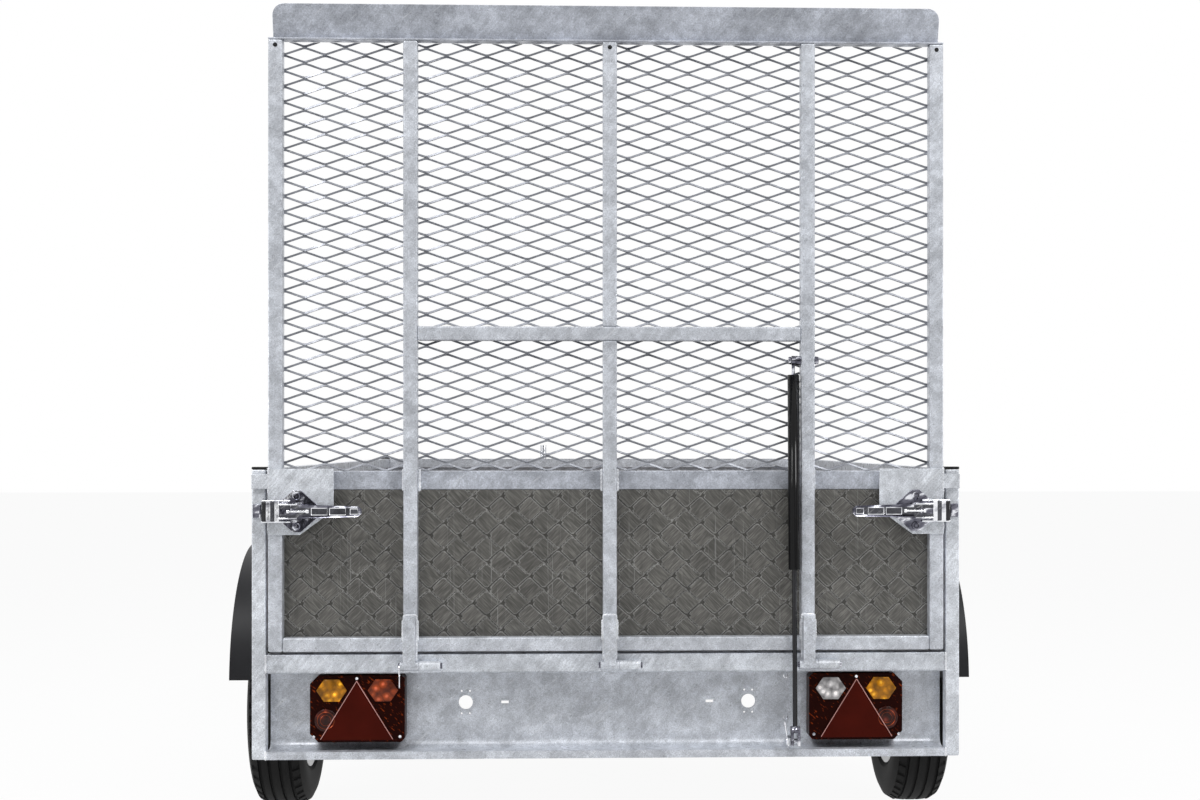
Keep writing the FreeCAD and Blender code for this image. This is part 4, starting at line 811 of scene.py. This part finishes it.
def strut_fittings():
    """Two screws of the strut's bracket, the spring clip of its fork, and the upper nuts."""
    foot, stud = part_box("strut_rod")[0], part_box("strut_stud")
    spots = [(STRUT_PLACE, RAMP_BACK + 0.0665, level) for level in (0.398, 0.488)]
    finished(set_out("bracket_screws", screw(0.0055), spots), "bright_zinc", "chassis", POLISHED)
    leaf_middle = foot.z + 0.027
    leaf = bar((STRUT_PLACE - 0.006, foot.y + 0.008, leaf_middle), (0.0022, 0.014, 0.052),
               0.0006)
    move_points(leaf, lambda c: c.z > leaf_middle, (-0.0080, 0, 0))
    eye = turned([(-0.0045, 0.0062), (-0.004, 0.0074), (0.004, 0.0074), (0.0045, 0.0062)],
                 (STRUT_PLACE - 0.0055, foot.y + 0.010, foot.z + 0.010), "X", 20)
    finished(merged("fork_clip", [leaf, eye]), "bright_zinc", "strut_rod", POLISHED)
    nut = turned([(0, 0.0075), (0.0015, 0.0092), (0.0055, 0.0092), (0.007, 0.0075)],
                 (0, 0, 0), "X", 6)
    spots = [(STRUT_PLACE + aside, (stud[0].y + stud[1].y) / 2, (stud[0].z + stud[1].z) / 2)
             for aside in (0.0162, 0.0552)]
    finished(set_out("stud_nuts", nut, spots), "bright_zinc", "ramp")


def wide_lenses():
    """The upper lenses, wider than tall, and the dim round tail lenses."""
    upper_row = 0.43
    for name in ("amber_lenses", "red_lenses", "clear_lens"):
        edit(cad_copy(name, name + "_wide"))
        bpy.ops.mesh.separate(type="LOOSE")
        done()
        upper, lower = [], []
        for part in list(bpy.context.selected_objects):
            centre = sum((v.co for v in part.data.vertices), Vector()) / len(part.data.vertices)
            (upper if centre.z > upper_row else lower).append(part)
            if centre.z > upper_row:
                edit(part)
                bpy.ops.transform.resize(value=(1.2, 1, 1), center_override=centre)
                done()
            eased(part, 0.001, 2)
        for group, ending, finish in ((upper, "_wide", None), (lower, "_tail", DIM_LENS)):
            if group:
                made = merged(name + ending, group)
                finished(smooth(made), SLOTS[name], "chassis", finish)
                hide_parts(name)


def strut_parts():
    """The strut's dark rod and cylinder, and the bright zinc forks at its two ends."""
    foot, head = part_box("strut_rod")[0].z + 0.041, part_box("strut_cylinder")[1].z - 0.040
    for node, name, level, way, slot in (
            ("strut_rod", "rod_shaft", foot, -1, "strut_steel"),
            ("strut_rod", "rod_fork", foot, 1, "bright_zinc"),
            ("strut_cylinder", "cylinder_barrel", head, 1, "black_enamel"),
            ("strut_cylinder", "cylinder_fork", head, -1, "bright_zinc")):
        thing = cad_copy(node, name, False)
        edit(thing)
        bpy.ops.mesh.bisect(plane_co=(0, 0, level), plane_no=(0, 0, way), use_fill=True,
                            clear_outer=True)
        done()
        finished(smooth(thing), slot, node)
        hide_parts(node)


# How far out a latch's middle is, and how high.
LATCH = (0.654, (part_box("latch_bases")[0].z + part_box("latch_bases")[1].z) / 2)


def both_latches(place, y, lifts):
    """Places for a piece at both latches, measured outwards from their middles."""
    return [(way * (LATCH[0] + place), y, LATCH[1] + lift) for way in (-1, 1) for lift in lifts]


def pocket(wide, tall):
    """The raised rim of a pocket in a lever."""
    rim = bar((0, 0, 0), (wide, 0.0022, tall), 0.0009)
    choose_faces(rim, lambda c, n: n.y < -0.9)
    bpy.ops.mesh.inset(thickness=0.0014, depth=-0.0012)
    done()
    return rim


def bent_wire(radius, reach, tall, corner):
    """A wire loop that leaves the middle, turns twice and comes back."""
    deselect()
    bpy.ops.mesh.primitive_circle_add(vertices=10, radius=radius, rotation=(0, math.pi / 2, 0))
    wire = settle(bpy.context.object)
    wire.location = (0, 0, tall)
    settle(wire)
    edit(wire)
    bpy.ops.mesh.extrude_region_move(TRANSFORM_OT_translate={"value": (reach - corner, 0, 0)})
    bpy.ops.mesh.spin(steps=6, angle=math.pi / 2, center=(reach - corner, 0, tall - corner),
                      axis=(0, 1, 0))
    bpy.ops.mesh.extrude_region_move(TRANSFORM_OT_translate={"value": (0, 0, 2 * (corner - tall))})
    bpy.ops.mesh.spin(steps=6, angle=math.pi / 2, center=(reach - corner, 0, corner - tall),
                      axis=(0, 1, 0))
    bpy.ops.mesh.extrude_region_move(TRANSFORM_OT_translate={"value": (corner - reach, 0, 0)})
    bpy.ops.mesh.select_all(action="SELECT")
    bpy.ops.mesh.remove_doubles(threshold=SAME_POINT)
    done()
    return smooth(closed(wire), 50)


def latch_details():
    """Pressed levers with pockets, their knuckles, hooks, rollers, wire loops and screws; dark
    pieces paint the shade in the pockets, beside the knuckles and in the hooks' gap.
    """
    face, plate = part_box("latch_levers")[0].y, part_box("latch_bases")[1].y
    levers = cad_copy("latch_levers", "latch_levers_pressed")
    choose_faces(levers, lambda c, n: n.y < -0.9)
    bpy.ops.mesh.inset(thickness=0.0022, depth=-0.0024)
    done()
    finished(smooth(eased(levers, 0.0007)), "bright_zinc", "ramp")
    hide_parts("latch_levers")
    knuckle = turned([(-0.030, 0.001), (-0.0285, 0.004), (-0.025, 0.0050), (-0.0215, 0.004),
                      (-0.020, 0.0026), (0.012, 0.0026), (0.013, 0.0045), (0.018, 0.0045)],
                     (0, 0, 0), "X", 16)
    turned_over = copied(knuckle, (0, 0, 0))
    turned_over.rotation_euler = (0, math.pi, 0)
    settle(turned_over)
    # Each piece's name, its shape, its place forward, its places outwards, its heights
    # and its finish.
    pocket_places, pocket_end = (-0.050, -0.088), (-0.122,)
    pieces = (
        ("latch_screws", screw(0.0092), plate - 0.0035, (0,), (-0.032, 0.032),
         MATERIALS["bright_zinc"]),
        # The dark floors, cheeks and gap piece here are painted shade.
        ("lever_floors", bar((0, 0, 0), (0.128, 0.0008, 0.0150), 0.0003), face + 0.0022,
         (-0.067,), (0,), PAINTED_SHADE_ZINC),
        ("lever_pockets", pocket(0.035, 0.0160), face + 0.0012, pocket_places, (0,), POLISHED),
        ("lever_pocket_floors", bar((0, 0, 0), (0.0315, 0.0006, 0.0125), 0.0002), face + 0.0008,
         pocket_places, (0,), PAINTED_SHADE_ZINC),
        ("lever_ends", pocket(0.017, 0.0130), face + 0.0012, pocket_end, (0,), POLISHED),
        ("lever_end_floors", bar((0, 0, 0), (0.0135, 0.0006, 0.0095), 0.0002), face + 0.0008,
         pocket_end, (0,), PAINTED_SHADE_ZINC),
        ("knuckle_cheeks", bar((0, 0, 0), (0.042, 0.006, 0.0075), 0.0015), face + 0.004,
         (0.014,), (-0.0095, 0.0095), PAINTED_SHADE_ZINC),
        ("knuckle_wires", turned([(-0.019, 0.0012), (-0.018, 0.0016), (0.018, 0.0016),
                                  (0.019, 0.0012)], (0, 0, 0), "X", 10), face + 0.002,
         (0.0155,), (-0.0145, 0.0145), POLISHED),
        ("hook_plates", bar((0, 0, 0), (0.0100, 0.011, 0.043), 0.0018), face + 0.0065,
         (0.0385, 0.0565), (0,), POLISHED),
        ("hook_gap_shade", bar((0, 0, 0), (0.0085, 0.007, 0.041), 0.0008), face + 0.0075,
         (0.0475,), (0,), PAINTED_SHADE_ZINC),
        ("latch_rollers", turned([(-0.021, 0.0035), (-0.019, 0.0047), (0.019, 0.0047),
                                  (0.021, 0.0035)], (0, 0, 0), "Z", 20), face + 0.006,
         (0.0665,), (0,), MATERIALS["strut_steel"]),
    )
    for name, piece, y, places, lifts, finish in pieces:
        spots = [spot for place in places for spot in both_latches(place, y, lifts)]
        finished(set_out(name, piece, spots), "bright_zinc", "ramp", finish)
    rods = [copied(knuckle, (LATCH[0], face + 0.003, LATCH[1])),
            copied(turned_over, (-LATCH[0], face + 0.003, LATCH[1]))]
    for thing in (knuckle, turned_over):
        bpy.data.objects.remove(thing)
    finished(merged("latch_knuckles", rods), "bright_zinc", "ramp", POLISHED)
    low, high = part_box("latch_loops")
    radius, root, corner = 0.0023, LATCH[0] + 0.012, 0.012
    loops = []
    for way in (-1, 1):
        wire = bent_wire(radius, high.x - radius - root, (high.z - low.z) / 2 - radius, corner)
        wire.scale.x = way
        settle(wire)
        edit(wire)
        bpy.ops.mesh.normals_make_consistent(inside=False)
        done()
        wire.location = (way * root, (low.y + high.y) / 2, LATCH[1])
        loops.append(settle(wire))
    made = merged("latch_wire_loops", loops)
    finished(made, "bright_zinc", "ramp", POLISHED)
    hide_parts("latch_loops")


def lamp_details():
    """Painted highlight lines along the triangles' edges, rings in the tail lenses painted
    brighter as highlights, and three screws a lamp.
    """
    low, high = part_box("lamp_reflectors")
    housing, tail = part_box("lamp_housings"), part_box("red_lenses")
    lines, heads, rings = [], [], []
    half, foot, top = 0.076, low.z + 0.002, high.z - 0.003
    screw_side, tail_place = 0.091, 0.024
    # Two rings on each dim tail lens, in the brighter red lens: the lens's own ring shapes,
    # painted brighter as highlights on its reflector bowl.
    ring = turned([(-0.0008, 0.0185), (-0.0008, 0.0172), (0.0010, 0.0172), (0.0010, 0.0185),
                   (-0.0008, 0.0185)], (0, 0, 0), "Y", 32)
    for way in (-1, 1):
        middle = way * LAMP_PLACE
        corners = [(middle - half, foot), (middle + half, foot), (middle, top)]
        # Pale pink bars along the two upper edges of each triangle: painted highlights.
        for (x, z), (x2, z2) in ((corners[0], corners[2]), (corners[2], corners[1])):
            line = bar((0, 0, 0), (math.hypot(x2 - x, z2 - z), 0.0012, 0.0016), 0.0004)
            line.rotation_euler = (0, -math.atan2(z2 - z, x2 - x), 0)
            line.location = ((x + x2) / 2, low.y - 0.0006, (z + z2) / 2)
            lines.append(settle(line))
        heads += [(middle + aside, housing[0].y - 0.0004, z) for aside, z in
                  ((-screw_side, housing[0].z + 0.012), (screw_side, housing[0].z + 0.012),
                   (0, housing[1].z - 0.007))]
        centre = (tail[0].x + tail_place) if way < 0 else (tail[1].x - tail_place)
        for spread in (1.0, 0.62):
            loop = copied(ring, (0, 0, 0))
            move_points(loop, lambda c: True, spread=spread)
            rings.append(copied(loop, (centre, tail[0].y - 0.0003, tail[0].z + tail_place)))
            bpy.data.objects.remove(loop)
    bpy.data.objects.remove(ring)
    finished(merged("tail_lens_glint_rings", rings), "red_lens", "chassis")
    finished(merged("reflector_edge_highlights", lines), "reflector", "chassis", EDGE_HIGHLIGHT_PINK)
    finished(set_out("lamp_screws", screw(0.0035), heads), "bright_zinc", "chassis", POLISHED)


def split_pin():
    """A ring through the left hinge pin's end with a pin hanging from it."""
    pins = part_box("hinge_pins")
    x, z = pins[0].x + 0.003, (pins[0].z + pins[1].z) / 2
    deselect()
    bpy.ops.mesh.primitive_torus_add(major_radius=0.010, minor_radius=0.0012,
                                     major_segments=24, minor_segments=8,
                                     rotation=(0, math.pi / 2, 0))
    ring = settle(bpy.context.object)
    move_points(ring, lambda c: c.z < -0.005, (0, 0, -0.003))
    move_points(ring, lambda c: c.z < -0.0115, (0, 0, -0.003))
    ring.location = (x, pins[0].y, z - 0.006)
    leg = turned([(-0.014, 0.0006), (-0.012, 0.0012), (0.012, 0.0012), (0.014, 0.0006)],
                 (x, pins[0].y, z - 0.032), "Z", 10)
    finished(merged("split_pin", [smooth(settle(ring)), leg]), "bright_zinc", "chassis", POLISHED)


def front_bolts():
    """Two hexagon heads on each side of the nose tube."""
    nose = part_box("nose_tube")
    head = turned([(-0.004, 0.0085), (-0.003, 0.0098), (0.003, 0.0098), (0.004, 0.0098)],
                  (0, 0, 0), "X", 6)
    spots = [(way * (nose[1].x + 0.0035), nose[1].y - back, (nose[0].z + nose[1].z) / 2)
             for way in (-1, 1) for back in (0.17, 0.09)]
    finished(set_out("nose_bolts", head, spots), "bright_zinc", "chassis")


# ---- floor, light and camera --------------------------------------------------------

LAMPS = (       # name, place, watts and size
    ("key", (-2.8, -4.7, 5.6), 166, 2.0),
    ("fill", (2.9, -4.8, 5.2), 152, 2.0),
    ("top", (0, 1.5, 5.5), 90, 4.0),
    ("left_edge", (-4.4, -1.7, 1.3), 30, 0.8),
    ("right_edge", (4.4, -1.7, 1.3), 30, 0.8),
)
FLAGS = (       # dark cards that the metal mirrors: place across and along, width, height
    (-2.6, -4.2, 0.7, 2.2), (2.7, -4.2, 0.7, 2.2), (-1.3, -8.0, 0.9, 5.0), (1.0, -8.0, 0.9, 5.0),
)
LAMP_AIM = Vector((0, -1, 0.9))
FLOOR_WHITE, WORLD_LIGHT = 0.94, 0.22


def seen_directly(tree):
    """1 for rays from the camera, mirrors and clear things, and 0 for light on surfaces."""
    rays = tree.nodes.new("ShaderNodeLightPath")
    ray = rays.outputs["Is Camera Ray"]
    for kind in ("Is Glossy Ray", "Is Transmission Ray"):
        either = tree.nodes.new("ShaderNodeMath")
        either.operation = "MAXIMUM"
        tree.links.new(ray, either.inputs[0])
        tree.links.new(rays.outputs[kind], either.inputs[1])
        ray = either.outputs[0]
    return ray


def studio_floor():
    """A pale floor that looks nearly white and keeps some of its shadow."""
    deselect()
    bpy.ops.mesh.primitive_plane_add(size=60, location=(0, 0, 0))
    floor = bpy.context.object
    floor.name = "studio_floor"
    paint = Finish("studio_floor", (0.92, 0.92, 0.92), 0.9)
    white = paint.tree.nodes.new("ShaderNodeEmission")
    white.inputs["Strength"].default_value = 1
    share = paint.tree.nodes.new("ShaderNodeMath")
    share.operation = "MULTIPLY"
    share.inputs[1].default_value = FLOOR_WHITE
    blend = paint.tree.nodes.new("ShaderNodeMixShader")
    paint.link(seen_directly(paint.tree), share.inputs[0])
    paint.link(share.outputs[0], blend.inputs["Fac"])
    paint.link(paint.shader.outputs[0], blend.inputs[1])
    paint.link(white.outputs[0], blend.inputs[2])
    paint.link(blend.outputs[0], paint.tree.nodes["Material Output"].inputs["Surface"])
    floor.data.materials.append(paint.material)


def studio_world():
    """Soft light all round, and plain white where it is seen."""
    world = bpy.data.worlds.new("studio")
    bpy.context.scene.world = world
    world.use_nodes = True
    tree = world.node_tree
    light, white = tree.nodes["Background"], tree.nodes.new("ShaderNodeBackground")
    for shader, colour, strength in ((light, (0.95, 0.97, 1.0, 1), WORLD_LIGHT),
                                     (white, (1, 1, 1, 1), 1)):
        shader.inputs["Color"].default_value = colour
        shader.inputs["Strength"].default_value = strength
    blend = tree.nodes.new("ShaderNodeMixShader")
    tree.links.new(seen_directly(tree), blend.inputs["Fac"])
    tree.links.new(light.outputs[0], blend.inputs[1])
    tree.links.new(white.outputs[0], blend.inputs[2])
    tree.links.new(blend.outputs[0], tree.nodes["World Output"].inputs["Surface"])


def studio():
    studio_floor()
    for x, y, wide, tall in FLAGS:
        bpy.ops.mesh.primitive_plane_add(size=1, location=(x, y, 1.1),
                                         rotation=(math.pi / 2, 0, math.copysign(0.3, -x)))
        flag = bpy.context.object
        flag.name = "dark_flag"
        flag.scale = (wide, tall, 1)
        flag.visible_camera = flag.visible_shadow = False
        flag.data.materials.append(Finish("dark_flag", (0.01, 0.01, 0.01), 1.0).material)
    studio_world()
    for name, spot, power, size in LAMPS:
        lamp = bpy.data.lights.new(name, "AREA")
        lamp.energy, lamp.size = power, size
        thing = bpy.data.objects.new(name, lamp)
        bpy.context.collection.objects.link(thing)
        thing.location = spot
        thing.rotation_euler = (LAMP_AIM - Vector(spot)).to_track_quat("-Z", "Y").to_euler()


def camera():
    made = bpy.data.cameras.new("camera")
    made.lens, made.sensor_width = 52.46, 36
    made.shift_x, made.shift_y = -0.0282, 0.036
    thing = bpy.data.objects.new("camera", made)
    bpy.context.collection.objects.link(thing)
    thing.location = (-0.0745, -5.526, 0.990)
    thing.rotation_euler = (math.pi / 2, 0, math.radians(-2))
    bpy.context.scene.camera = thing


studio()
camera()
bpy.context.scene.view_settings.view_transform = "Standard"
rounded_copies()
expanded_mesh()
tread_bars()
for side in ("left", "right"):
    road_tyre(side)
    wheel_nuts(side)
RIPPLE = weld_ripple()
ramp_welds()
frame_welds()
bpy.data.objects.remove(RIPPLE)
vent_holes()
latch_details()
lamp_details()
split_pin()
front_bolts()
strut_fittings()
wide_lenses()
strut_parts()
for side in ("left", "right"):
    rim_holes(side)
